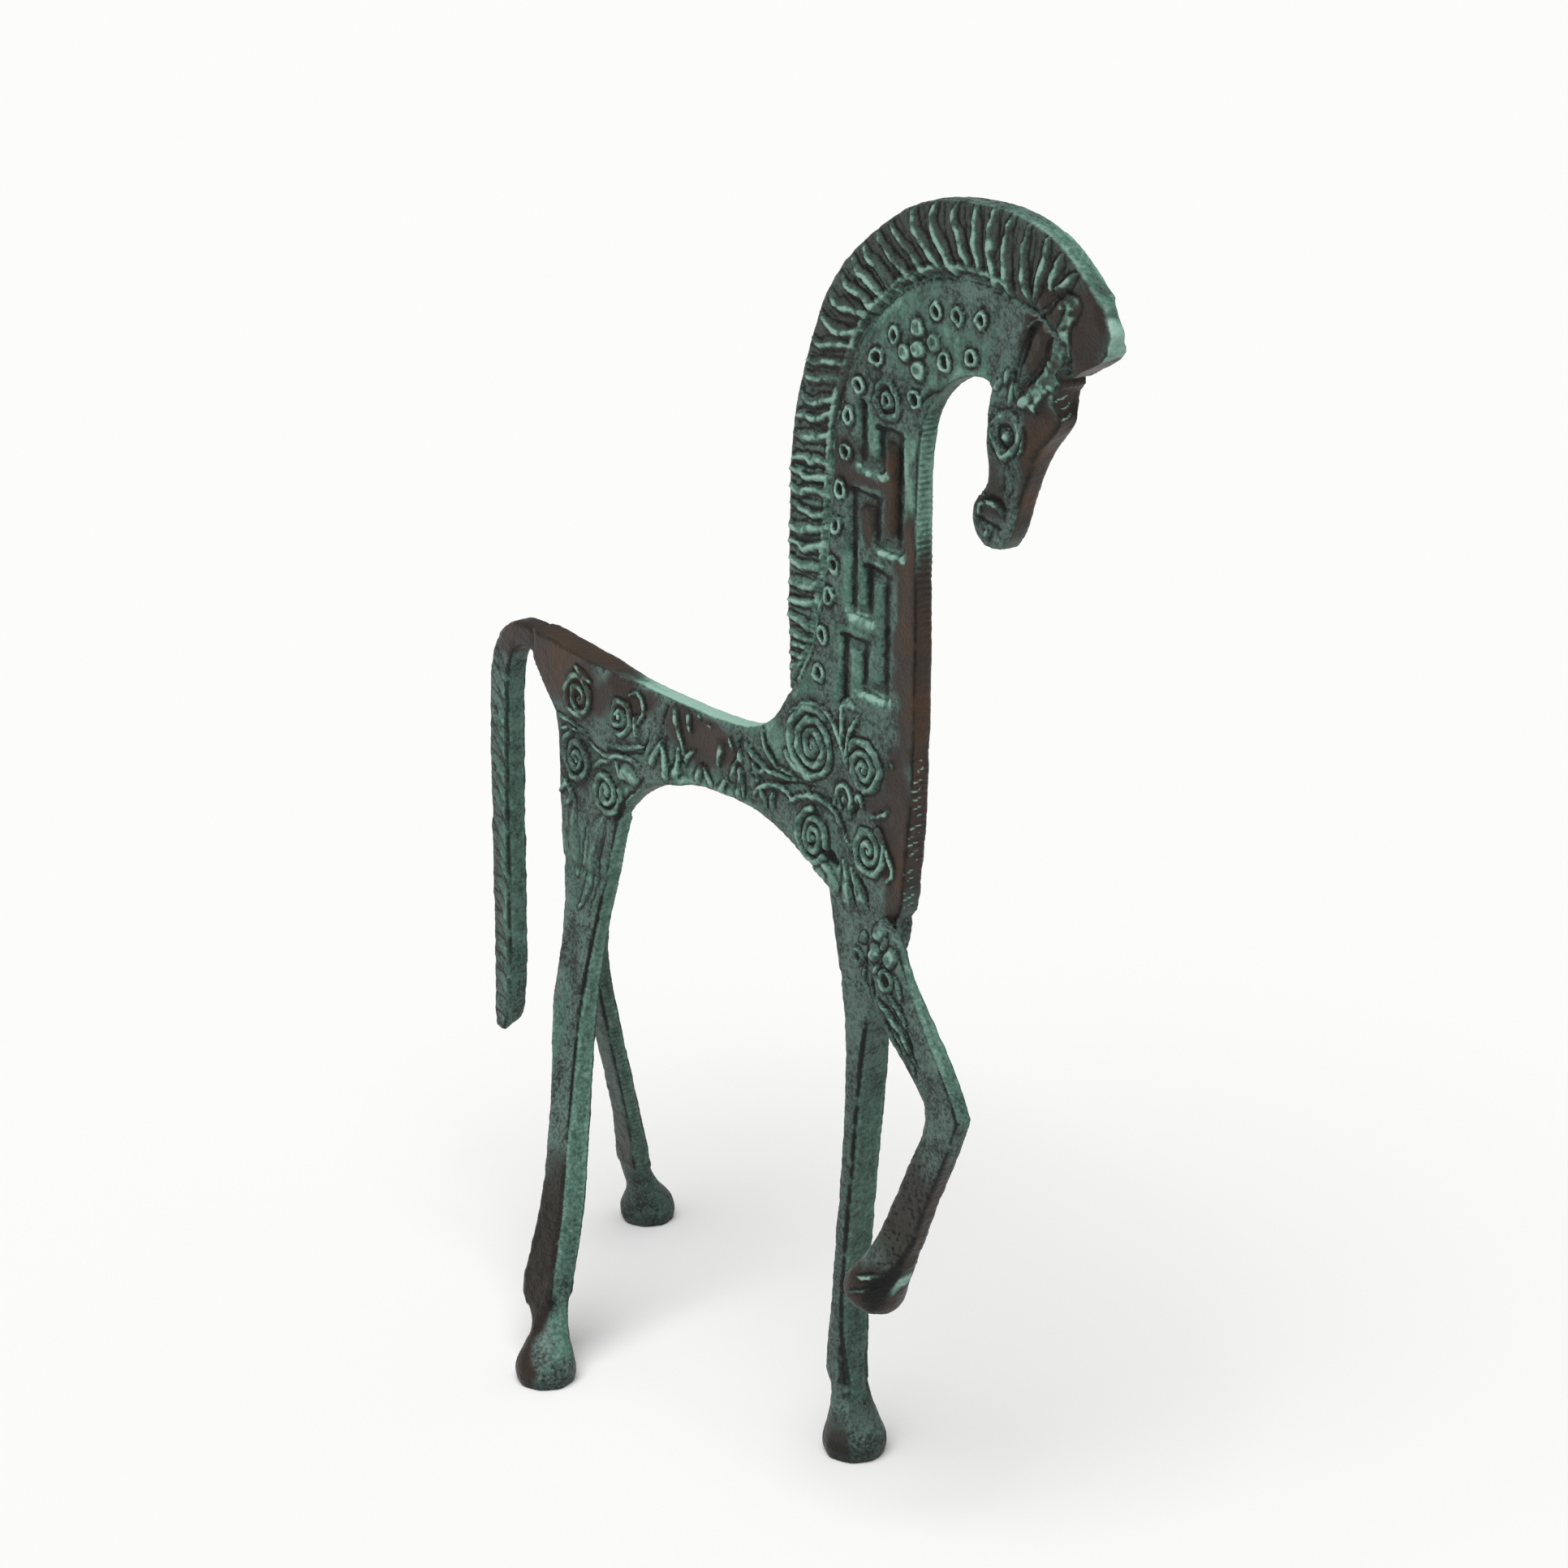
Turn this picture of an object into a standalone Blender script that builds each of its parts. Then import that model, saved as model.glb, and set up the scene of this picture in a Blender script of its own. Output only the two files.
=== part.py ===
"""Bronze horse figurine in the style of an ancient flat casting, about 300 mm tall.

The horse walks with its right foreleg raised. Every limb is a flat bronze casting of its own. The near
(right) hind leg, the standing (left) foreleg, the tail and the mane butt against the body and are pinned
to it with hidden dowels. The raised foreleg and the far (left) hind leg lap over the body and are pinned
through the lap. X points to the head, Y to the horse's left side, Z up. Outlines are in millimetres.
"""

import math
from collections import namedtuple

import bmesh
import bpy
import numpy as np
from mathutils import Matrix, Vector
from mathutils.bvhtree import BVHTree

MM = 0.001

# Main heights. The hind legs and the standing foreleg reach from the ground to seams that lie below the level
# of the back. The trunk, the neck, the head, the raised leg and the tail are drawn from that level.
BACK_LEVEL = 168.0
HAUNCH_DEPTH = 54.0
BREAST_DEPTH = 46.0
HIND_SEAM_LEVEL = BACK_LEVEL - HAUNCH_DEPTH
FORE_SEAM_LEVEL = BACK_LEVEL - BREAST_DEPTH

# Thickness of the flat castings, across Y
RUMP_THICKNESS = 7.2
HAUNCH_THICKNESS = 4.8
BACK_THICKNESS = 4.8
CHEST_THICKNESS = 5.4
NECK_THICKNESS = 4.8
BROW_THICKNESS = 7.0
MUZZLE_THICKNESS = 5.0
MANE_THICKNESS = 5.0
TAIL_THICKNESS = 5.8
NEAR_LEG_THICKNESS = 7.2
FAR_LEG_THICKNESS = 4.8
RAISED_LEG_THICKNESS = 4.5
STANDING_LEG_THICKNESS = 8.4
LAP_THICKNESS = 2.4

# Hooves, all alike: a bell that swells between the pastern and a flat sole. The profile is the way along
# the hoof's axis from its widest place, with the diameter there. The raised hoof's middle is set back from
# the plane of the raised leg's inner face.
HOOF_DIAMETER = 14.0
SOLE_DIAMETER = 13.2
HOOF_WALL = 2.6
HOOF_PROFILE = ((-HOOF_WALL, SOLE_DIAMETER), (0.0, HOOF_DIAMETER), (HOOF_WALL, SOLE_DIAMETER))
PASTERN_HEIGHT = 11.5
PASTERN_THICKNESS = 7.6
RAISED_PASTERN_THICKNESS = 6.6
RAISED_HOOF_CENTRE = (44.6, -112.2)
RAISED_HOOF_SETBACK = 4.4
RAISED_HOOF_AXIS = math.radians(245)

# Joints
SEAM = 0.3
TAIL_SEAT_X = -98.0
TAIL_SEAT_TOP = 1.8
TAIL_SEAT_BOTTOM = -5.0
DOWEL_DIAMETER = 2.2
DOWEL_FIT = 0.3
LEG_DOWEL_LENGTH = 8.0
LAP_DOWEL_LENGTH = 4.6
LAP_DOWEL_GRIP = 1.5
TAIL_DOWEL_LENGTH = 9.0
MANE_DOWEL_LENGTH = 7.0
MANE_DOWEL_PLACES = (0.22, 0.45, 0.65, 0.86)
BUTT_DOWEL_PLACES = (0.3, 0.7)

# Rounding and fineness of the castings. ROUNDEST is the share of a half side that a rounding may take, and
# BREAST_INSET keeps the root of the standing foreleg just inside the faces of the breast.
EDGE_RADIUS = 0.9
LEG_EDGE_RADIUS = 1.2
PASTERN_RADIUS = 3.0
FETLOCK_RADIUS = 2.4
ROUNDEST = 0.98
BREAST_INSET = 0.1
CORNER_STEPS = 2
ROW_STEPS = 2
DOWEL_SIDES = 16
SHARP_ANGLE = math.radians(40)

# Ornament on both broad faces of the body: raised spirals, rings and bosses, and the sunk band of a Greek
# key. A raised line bites into the casting with its wide foot and narrows to its top.
RAISED_HEIGHT = 0.6
RAISED_BITE = 0.3
SPIRAL_FOOT = 1.9
SPIRAL_TOP = 0.9
SPIRAL_EYE = 1.3
SPIRAL_STEP = 3.4
SPIRAL_TURN = math.radians(45)
RING_RADIUS = 1.6
RING_FOOT = 1.6
RING_TOP = 0.7
RING_SIDES = 8
WIDE_RING_SIDES = 12
BOSS_FOOT = 4.2
BOSS_TOP = 2.8
KEY_DEPTH = 0.9
KEY_FLOOR = 1.8
KEY_MOUTH = 3.2
FACE_PROBE = 60.0

# Spirals from the outer end in, as X, the height over the level of the back, the outer radius, the turns,
# the direction of the outer end in degrees and the hand. The last one lies where the far leg's lap covers the
# far face, so it is on the near face only.
SPIRALS = (
    (14.2, 4.5, 8.6, 3.1, 60, -1), (33.0, 4.5, 6.2, 2.3, 150, 1), (15.2, -16.6, 6.6, 2.4, 95, -1),
    (35.0, -13.4, 6.2, 2.2, 60, 1), (-77.0, -9.5, 5.6, 1.9, 200, 1), (-60.0, -9.5, 5.0, 1.8, 240, -1),
    (-68.0, -31.0, 5.8, 2.0, 20, 1), (-80.5, -26.0, 6.2, 2.2, 110, -1),
)
# Small rings, as X and the height over the level of the back. The great ring and the eye have their radius too.
SMALL_RINGS = (
    (55.4, 108.2), (62.4, 108.5), (69.9, 109.2), (41.4, 100.7), (35.6, 94.9), (30.4, 88.0), (26.4, 80.7),
    (25.4, 72.4), (23.7, 64.2), (22.2, 55.7), (21.1, 47.0), (19.8, 39.7), (17.9, 30.7), (16.6, 21.5),
    (67.1, 101.0), (58.4, 98.5), (48.7, 88.7),
)
WIDE_RINGS = ((39.4, 86.4, 3.7), (39.4, 86.4, 1.5), (79.6, 88.2, 3.6))
BOSSES = ((49.4, 103.7), (54.4, 101.4), (49.6, 99.2), (45.4, 97.7), (49.9, 94.7))
KEY_LINE = (
    (31.0, 83.0), (31.0, 71.5), (37.4, 71.5), (37.4, 78.8), (43.4, 78.8), (43.4, 55.4), (36.0, 55.4),
    (36.0, 63.8), (28.0, 63.8), (28.0, 38.8), (33.6, 38.8), (33.8, 48.0), (39.4, 48.0), (39.4, 22.7),
    (32.0, 22.7), (32.0, 31.3), (25.4, 31.3), (25.4, 18.0),
)

# Where the pins of the two lap joints stand, as X and the height over the level of the back
RAISED_LEG_PINS = ((36.5, -37.0), (41.0, -31.5))
FAR_LEG_PINS = ((-81.0, -0.685 * HAUNCH_DEPTH), (-81.4, -0.88 * HAUNCH_DEPTH))

# A cross-section of a casting: its two outline points as (X, Z), the middle of its thickness in Y, the
# thickness, the rounding of its long edges, and the outline that has a corner here
Row = namedtuple("Row", "rear front middle thick edge corner", defaults=(EDGE_RADIUS, ""))


def level_row(height, rear, front, middle, thick, edge=LEG_EDGE_RADIUS):
    """A horizontal cross-section, as the legs have."""
    return Row((rear, height), (front, height), middle, thick, edge)


def hoof_rows(centre_x, centre_y):
    """The hoof of a standing leg, from its sole to just under the pastern."""
    rows = []
    for along, diameter in HOOF_PROFILE:
        radius = diameter / 2
        height = HOOF_WALL + along
        rows.append(level_row(height, centre_x - radius, centre_x + radius, centre_y, diameter, radius))
    return rows


def ease(share, start, end):
    """A thickness that lies this share of the way from one thickness to the next."""
    return start + share * (end - start)


# Right hind leg from its sole up, then the haunch, the trunk, the neck and the head to the muzzle. The
# rear outline is the back of the leg, the back, the mane line and the nose. The front outline is the front
# of the leg, the belly, the breast, the throat and the jaw.
RIGHT_HIND_LEG = hoof_rows(-50.4, -33.6) + [
    level_row(PASTERN_HEIGHT, -57.4, -49.4, -30.4, PASTERN_THICKNESS, PASTERN_RADIUS),
    level_row(0.149 * HIND_SEAM_LEVEL, -65.0, -51.2, -28.2, NEAR_LEG_THICKNESS, FETLOCK_RADIUS),
    level_row(0.211 * HIND_SEAM_LEVEL, -65.8, -54.0, -25.4, NEAR_LEG_THICKNESS),
    level_row(0.316 * HIND_SEAM_LEVEL, -67.8, -57.8, -20.4, NEAR_LEG_THICKNESS),
    level_row(0.439 * HIND_SEAM_LEVEL, -72.0, -63.2, -15.2, NEAR_LEG_THICKNESS),
    level_row(0.570 * HIND_SEAM_LEVEL, -77.4, -67.6, -10.6, ease(0.25, NEAR_LEG_THICKNESS, HAUNCH_THICKNESS)),
    level_row(0.702 * HIND_SEAM_LEVEL, -83.0, -71.0, -6.5, ease(0.5, NEAR_LEG_THICKNESS, HAUNCH_THICKNESS)),
    level_row(0.825 * HIND_SEAM_LEVEL, -84.4, -71.8, -3.3, ease(0.8, NEAR_LEG_THICKNESS, HAUNCH_THICKNESS)),
    level_row(0.912 * HIND_SEAM_LEVEL, -86.4, -71.6, -1.0, HAUNCH_THICKNESS),
]
HAUNCH = [
    level_row(-HAUNCH_DEPTH, -87.8, -69.2, 0.0, HAUNCH_THICKNESS, EDGE_RADIUS),
    level_row(-0.852 * HAUNCH_DEPTH, -88.5, -66.7, 0.0, HAUNCH_THICKNESS, EDGE_RADIUS),
    level_row(-0.685 * HAUNCH_DEPTH, -88.8, -63.4, 0.0, HAUNCH_THICKNESS, EDGE_RADIUS),
    Row((-89.0, -27.0), (-59.6, -31.6), 0.0, HAUNCH_THICKNESS),
    Row((-90.2, -17.0), (-54.6, -27.7), 0.0, HAUNCH_THICKNESS),
    Row((TAIL_SEAT_X + 3.2, -9.4), (-49.8, -24.8), 0.0, RUMP_THICKNESS),
]
TRUNK = [
    Row((TAIL_SEAT_X, TAIL_SEAT_BOTTOM), (-46.0, -23.0), 0.0, RUMP_THICKNESS, EDGE_RADIUS, "rear"),
    Row((TAIL_SEAT_X, TAIL_SEAT_TOP), (-43.0, -22.0), 0.0, RUMP_THICKNESS, EDGE_RADIUS, "rear"),
    Row((TAIL_SEAT_X + 12.0, 1.2), (-40.0, -21.0), 0.0, RUMP_THICKNESS),
    Row((-71.0, 0.4), (-36.5, -20.0), 0.0, RUMP_THICKNESS),
    Row((-57.0, -0.2), (-32.0, -18.8), 0.0, HAUNCH_THICKNESS),
    Row((-45.0, -0.3), (-27.0, -18.0), 0.0, BACK_THICKNESS),
    Row((-33.0, -0.1), (-20.5, -17.5), 0.0, BACK_THICKNESS),
    Row((-21.0, 0.4), (-13.0, -17.3), 0.0, BACK_THICKNESS),
    Row((-11.5, 1.5), (-6.0, -17.8), 0.0, BACK_THICKNESS),
    Row((-5.0, 3.8), (0.5, -18.9), 0.0, CHEST_THICKNESS),
    Row((-1.0, 6.5), (6.0, -20.6), 0.0, CHEST_THICKNESS),
    Row((2.0, 9.6), (11.0, -22.9), 0.0, CHEST_THICKNESS),
    Row((4.4, 13.2), (16.0, -25.3), 0.0, CHEST_THICKNESS),
]

# Neck and head, each row with the crest point of the mane that stands on it. The forelock is cut off blunt
# below its corner.
FORELOCK_CORNER = (106.8, 115.4)
NECK = [
    ((3.6, 14.6), (6.2, 15.8), (20.4, -27.1), CHEST_THICKNESS),
    ((3.9, 19.2), (8.3, 18.6), (26.0, -28.4), CHEST_THICKNESS),
    ((4.1, 23.0), (10.2, 21.6), (33.0, -29.0), CHEST_THICKNESS),
    ((4.3, 27.5), (12.0, 25.0), (41.0, -28.6), CHEST_THICKNESS),
    ((4.5, 31.5), (13.3, 28.4), (45.6, -24.8), CHEST_THICKNESS),
    ((4.7, 36.0), (14.5, 32.4), (46.8, -17.0), CHEST_THICKNESS),
    ((4.8, 41.0), (15.7, 37.5), (48.0, -8.0), CHEST_THICKNESS),
    ((4.9, 47.0), (17.2, 43.5), (49.0, 2.0), NECK_THICKNESS),
    ((5.0, 53.0), (18.4, 49.5), (49.3, 13.0), NECK_THICKNESS),
    ((5.1, 59.0), (19.4, 56.0), (49.7, 24.0), NECK_THICKNESS),
    ((5.4, 65.5), (20.0, 63.5), (49.7, 36.0), NECK_THICKNESS),
    ((6.1, 72.5), (20.6, 71.5), (49.5, 47.0), NECK_THICKNESS),
    ((7.5, 79.5), (22.0, 79.0), (49.4, 57.5), NECK_THICKNESS),
    ((10.0, 87.0), (24.6, 86.2), (49.4, 67.0), NECK_THICKNESS),
    ((13.8, 96.6), (27.8, 94.0), (49.8, 76.0), NECK_THICKNESS),
    ((17.9, 105.0), (32.0, 100.6), (51.2, 84.0), NECK_THICKNESS),
    ((24.3, 112.8), (38.0, 106.0), (54.4, 89.4), NECK_THICKNESS),
    ((33.2, 120.0), (45.0, 111.2), (58.6, 93.3), NECK_THICKNESS),
    ((43.8, 126.7), (53.0, 115.0), (63.0, 95.9), NECK_THICKNESS),
    ((55.0, 130.8), (61.5, 116.7), (67.0, 97.1), NECK_THICKNESS),
    ((66.2, 132.2), (70.0, 117.1), (70.6, 97.4), NECK_THICKNESS),
    ((77.0, 132.5), (78.0, 116.2), (73.2, 95.6), NECK_THICKNESS),
    ((86.4, 131.0), (84.4, 114.6), (73.4, 92.0), BROW_THICKNESS),
    ((94.2, 128.0), (89.8, 113.2), (73.1, 88.4), BROW_THICKNESS),
    ((100.8, 123.0), (94.2, 110.4), (72.9, 84.8), BROW_THICKNESS),
    ((104.8, 118.4), (97.2, 106.8), (73.4, 81.6), BROW_THICKNESS),
    (FORELOCK_CORNER, (97.6, 104.8), (73.6, 80.4), BROW_THICKNESS),
    ((107.0, 110.2), (97.8, 103.0), (73.8, 79.2), BROW_THICKNESS),
]
HEAD = [
    Row((94.0, 99.4), (73.6, 77.2), 0.0, BROW_THICKNESS),
    Row((92.4, 94.2), (72.2, 75.2), 0.0, BROW_THICKNESS),
    Row((89.4, 88.4), (70.0, 73.3), 0.0, BROW_THICKNESS),
    Row((86.1, 82.0), (68.1, 71.3), 0.0, MUZZLE_THICKNESS),
    Row((83.3, 75.8), (67.5, 69.2), 0.0, MUZZLE_THICKNESS),
    Row((81.2, 70.4), (67.9, 67.0), 0.0, MUZZLE_THICKNESS),
    Row((79.6, 66.6), (69.2, 64.8), 0.0, MUZZLE_THICKNESS),
    Row((77.2, 63.8), (72.2, 63.4), 0.0, MUZZLE_THICKNESS),
]

# Tail, from its seat on the rump to its blunt tip: the outer outline, then the inner one, with X counted
# from the seat
TAIL = [
    ((-SEAM, TAIL_SEAT_TOP), (-SEAM, TAIL_SEAT_BOTTOM)),
    ((-5.8, 1.6), (-4.0, -4.4)),
    ((-11.2, 0.0), (-7.8, -5.4)),
    ((-15.9, -3.6), (-10.4, -8.2)),
    ((-19.2, -9.6), (-12.0, -12.6)),
    ((-20.9, -17.0), (-12.6, -18.4)),
    ((-21.3, -26.0), (-13.0, -26.0)),
    ((-21.6, -48.0), (-13.8, -48.0)),
    ((-22.0, -78.0), (-14.2, -78.0)),
    ((-22.2, -98.0), (-15.2, -98.0)),
    ((-22.8, -106.2), (-16.4, -105.0)),
    ((-22.2, -113.4), (-17.8, -111.2)),
]


def standing_row(height, rear, front, setback, thick, edge=LEG_EDGE_RADIUS):
    """A cross-section of the standing foreleg, whose near face lies set back from the breast's near face."""
    middle = setback + (thick - CHEST_THICKNESS) / 2
    return level_row(height, rear, front, middle, thick, edge)


# Left, standing foreleg from its sole up into the breast
BREAST_THICKNESS = CHEST_THICKNESS - 2 * BREAST_INSET
ELBOW_THICKNESS = ease(0.5, STANDING_LEG_THICKNESS, CHEST_THICKNESS)
LEFT_FORELEG = hoof_rows(19.8, 5.8) + [
    standing_row(0.111 * FORE_SEAM_LEVEL, 16.0, 23.2, 3.7, STANDING_LEG_THICKNESS, PASTERN_RADIUS),
    standing_row(0.172 * FORE_SEAM_LEVEL, 14.2, 22.2, 3.2, STANDING_LEG_THICKNESS, FETLOCK_RADIUS),
    standing_row(0.254 * FORE_SEAM_LEVEL, 16.4, 22.0, 2.8, STANDING_LEG_THICKNESS),
    standing_row(0.344 * FORE_SEAM_LEVEL, 18.2, 22.6, 2.3, STANDING_LEG_THICKNESS),
    standing_row(0.492 * FORE_SEAM_LEVEL, 21.2, 25.6, 1.4, STANDING_LEG_THICKNESS),
    standing_row(0.615 * FORE_SEAM_LEVEL, 23.5, 27.8, 0.9, STANDING_LEG_THICKNESS),
    standing_row(0.738 * FORE_SEAM_LEVEL, 25.0, 30.0, 0.5, STANDING_LEG_THICKNESS),
    standing_row(0.852 * FORE_SEAM_LEVEL, 26.0, 32.2, BREAST_INSET, STANDING_LEG_THICKNESS),
    standing_row(0.934 * FORE_SEAM_LEVEL, 25.4, 34.0, BREAST_INSET, ELBOW_THICKNESS),
    standing_row(FORE_SEAM_LEVEL, 23.9, 37.0, BREAST_INSET, CHEST_THICKNESS, EDGE_RADIUS),
    standing_row(BACK_LEVEL - 37.0, 22.0, 41.4, BREAST_INSET, BREAST_THICKNESS, EDGE_RADIUS),
    standing_row(BACK_LEVEL - 30.0, 20.4, 44.0, BREAST_INSET, BREAST_THICKNESS, EDGE_RADIUS),
    standing_row(BACK_LEVEL - 21.0, 18.5, 43.6, BREAST_INSET, BREAST_THICKNESS, EDGE_RADIUS),
]


def raised_row(rear, front, thick, edge=LEG_EDGE_RADIUS, corner=""):
    """A cross-section of the raised foreleg, whose inner face lies a seam off the breast's near face."""
    return Row(rear, front, -(CHEST_THICKNESS / 2 + SEAM + thick / 2), thick, edge, corner)


# Right, raised foreleg: its lap on the breast, the upper leg, the knee, the lower leg and the hoof
RIGHT_FORELEG = [
    raised_row((35.0, -31.4), (40.6, -26.4), LAP_THICKNESS, EDGE_RADIUS),
    raised_row((32.4, -36.4), (46.6, -28.4), LAP_THICKNESS, EDGE_RADIUS),
    raised_row((35.0, -40.8), (50.8, -34.0), ease(0.2, LAP_THICKNESS, RAISED_LEG_THICKNESS)),
    raised_row((41.8, -46.6), (56.8, -42.0), ease(0.6, LAP_THICKNESS, RAISED_LEG_THICKNESS)),
    raised_row((51.0, -53.6), (66.0, -52.3), RAISED_LEG_THICKNESS),
    raised_row((56.4, -57.6), (69.6, -57.2), RAISED_LEG_THICKNESS),
    raised_row((60.8, -62.6), (72.4, -62.4), RAISED_LEG_THICKNESS, LEG_EDGE_RADIUS, "front"),
    raised_row((60.4, -68.4), (69.8, -69.4), RAISED_LEG_THICKNESS),
    raised_row((57.6, -73.6), (66.6, -76.4), RAISED_LEG_THICKNESS),
    raised_row((52.7, -83.8), (61.4, -87.2), RAISED_LEG_THICKNESS),
    raised_row((48.0, -92.6), (57.4, -97.0), RAISED_LEG_THICKNESS),
    raised_row((44.8, -100.4), (54.0, -105.0), RAISED_PASTERN_THICKNESS, FETLOCK_RADIUS),
]


def raised_hoof_rows():
    """The hoof of the raised leg, its sole square to the lower leg."""
    axis = Vector((math.cos(RAISED_HOOF_AXIS), math.sin(RAISED_HOOF_AXIS)))
    across = Vector((-axis.y, axis.x))
    middle = -(CHEST_THICKNESS / 2 + SEAM + RAISED_HOOF_SETBACK)
    rows = []
    for along, diameter in HOOF_PROFILE:
        centre = Vector(RAISED_HOOF_CENTRE) + along * axis
        half = across * diameter / 2
        rows.append(Row(tuple(centre - half), tuple(centre + half), middle, diameter, diameter / 2))
    return rows


def lap_row(height, rear, front, outward, thick, edge=LEG_EDGE_RADIUS):
    """A cross-section of the far hind leg, its inner face this far outward of its seam with the haunch."""
    middle = HAUNCH_THICKNESS / 2 + SEAM + outward + thick / 2
    return level_row(height, rear, front, middle, thick, edge)


# Left, far hind leg from its sole up to its lap on the haunch
FAR_FETLOCK_THICKNESS = ease(0.4, PASTERN_THICKNESS, FAR_LEG_THICKNESS)
FAR_LAP_THICKNESS = ease(0.6, FAR_LEG_THICKNESS, LAP_THICKNESS)
LEFT_HIND_LEG = hoof_rows(-108.2, 34.3) + [
    level_row(PASTERN_HEIGHT, -109.4, -101.4, 31.4, PASTERN_THICKNESS, PASTERN_RADIUS),
    level_row(0.149 * HIND_SEAM_LEVEL, -110.4, -101.2, 29.0, FAR_FETLOCK_THICKNESS, FETLOCK_RADIUS),
    level_row(0.211 * HIND_SEAM_LEVEL, -108.0, -99.4, 26.8, ease(0.7, PASTERN_THICKNESS, FAR_LEG_THICKNESS)),
    level_row(0.289 * HIND_SEAM_LEVEL, -104.4, -96.6, 23.6, FAR_LEG_THICKNESS),
    level_row(0.386 * HIND_SEAM_LEVEL, -100.5, -93.0, 19.4, FAR_LEG_THICKNESS),
    level_row(0.482 * HIND_SEAM_LEVEL, -97.4, -90.0, 15.4, FAR_LEG_THICKNESS),
    level_row(0.579 * HIND_SEAM_LEVEL, -96.0, -88.0, 12.0, FAR_LEG_THICKNESS),
    level_row(0.667 * HIND_SEAM_LEVEL, -95.6, -86.8, 9.3, FAR_LEG_THICKNESS),
    lap_row(0.754 * HIND_SEAM_LEVEL, -94.8, -85.2, 1.8, FAR_LEG_THICKNESS),
    lap_row(0.833 * HIND_SEAM_LEVEL, -92.8, -82.2, 0.6, ease(0.25, FAR_LEG_THICKNESS, LAP_THICKNESS)),
    lap_row(BACK_LEVEL - 1.185 * HAUNCH_DEPTH, -89.8, -78.4, 0.0, FAR_LAP_THICKNESS),
    lap_row(BACK_LEVEL - 1.019 * HAUNCH_DEPTH, -87.8, -76.2, 0.0, LAP_THICKNESS),
    lap_row(BACK_LEVEL - 0.852 * HAUNCH_DEPTH, -87.2, -75.4, 0.0, LAP_THICKNESS, EDGE_RADIUS),
    lap_row(BACK_LEVEL - 0.667 * HAUNCH_DEPTH, -86.6, -75.2, 0.0, LAP_THICKNESS, EDGE_RADIUS),
    lap_row(BACK_LEVEL - 0.574 * HAUNCH_DEPTH, -83.6, -77.4, 0.0, LAP_THICKNESS, EDGE_RADIUS),
]


def lifted(rows):
    """Rows drawn from the level of the back, set at their height above the ground."""
    raised = []
    for row in rows:
        rear = (row.rear[0], row.rear[1] + BACK_LEVEL)
        front = (row.front[0], row.front[1] + BACK_LEVEL)
        raised.append(row._replace(rear=rear, front=front))
    return raised


def clear_scene():
    for thing in list(bpy.data.objects):
        bpy.data.objects.remove(thing, do_unlink=True)


def smooth(rows):
    """The rows with even in-between rows on smooth outlines, as an array of seven columns."""
    table = np.array([(*row.rear, *row.front, row.middle, row.thick, row.edge) for row in rows])
    bends = [("rear" in row.corner, "front" in row.corner) for row in rows]
    corner = np.array([[rear, rear, front, front, False, False, False] for rear, front in bends])
    centres = np.column_stack([(table[:, 0:2] + table[:, 2:4]) / 2, table[:, 4]])
    gaps = np.linalg.norm(np.diff(centres, axis=0), axis=1)[:, None]
    rates = np.diff(table, axis=0) / gaps
    even = (rates[:-1] * gaps[1:] + rates[1:] * gaps[:-1]) / (gaps[:-1] + gaps[1:])
    leaving = np.vstack([rates[:1], np.where(corner[1:-1], rates[1:], even)])
    arriving = np.vstack([np.where(corner[1:-1], rates[:-1], even), rates[-1:]])
    dense = []
    for index, gap in enumerate(gaps):
        for step in range(ROW_STEPS):
            t = step / ROW_STEPS
            start = (1 + 2 * t) * (1 - t) ** 2 * table[index] + t * (1 - t) ** 2 * gap * leaving[index]
            end = t * t * (3 - 2 * t) * table[index + 1] - t * t * (1 - t) * gap * arriving[index]
            dense.append(start + end)
    return np.array(dense + [table[-1]])


def split_at(dense, height):
    """The rows below a level seam and the rows above it, each ending half a seam from it."""
    first_above = int(np.argmax(dense[:, 1] > height))
    low, high = dense[first_above - 1], dense[first_above]

    def at(level):
        return low + (level - low[1]) / (high[1] - low[1]) * (high - low)

    below = [row for row in dense[:first_above] if row[1] < height - SEAM]
    above = [row for index, row in enumerate(dense) if index >= first_above and row[1] > height + SEAM]
    return np.array(below + [at(height - SEAM / 2)]), np.array([at(height + SEAM / 2)] + above)


def section_ring(row):
    """The points round one cross-section, a rectangle with rounded corners."""
    rear_x, rear_z, front_x, front_z, middle, thick, edge = row
    along = Vector((front_x - rear_x, 0.0, front_z - rear_z))
    half_width = along.length / 2
    half_thick = thick / 2
    along.normalize()
    across = Vector((0.0, 1.0, 0.0))
    centre = Vector(((rear_x + front_x) / 2, middle, (rear_z + front_z) / 2))
    radius = min(edge, ROUNDEST * half_width, ROUNDEST * half_thick)
    ring = []
    for quarter, (side, face) in enumerate(((1, 1), (-1, 1), (-1, -1), (1, -1))):
        for step in range(CORNER_STEPS + 1):
            angle = (quarter + step / CORNER_STEPS) * math.pi / 2
            wide = side * (half_width - radius) + radius * math.cos(angle)
            deep = face * (half_thick - radius) + radius * math.sin(angle)
            ring.append((centre + along * wide + across * deep) * MM)
    return ring


def new_object(name, shape, parent):
    mesh = bpy.data.meshes.new(name)
    bmesh.ops.recalc_face_normals(shape, faces=shape.faces)
    shape.to_mesh(mesh)
    shape.free()
    thing = bpy.data.objects.new(name, mesh)
    bpy.context.collection.objects.link(thing)
    thing.parent = parent
    return thing


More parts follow.
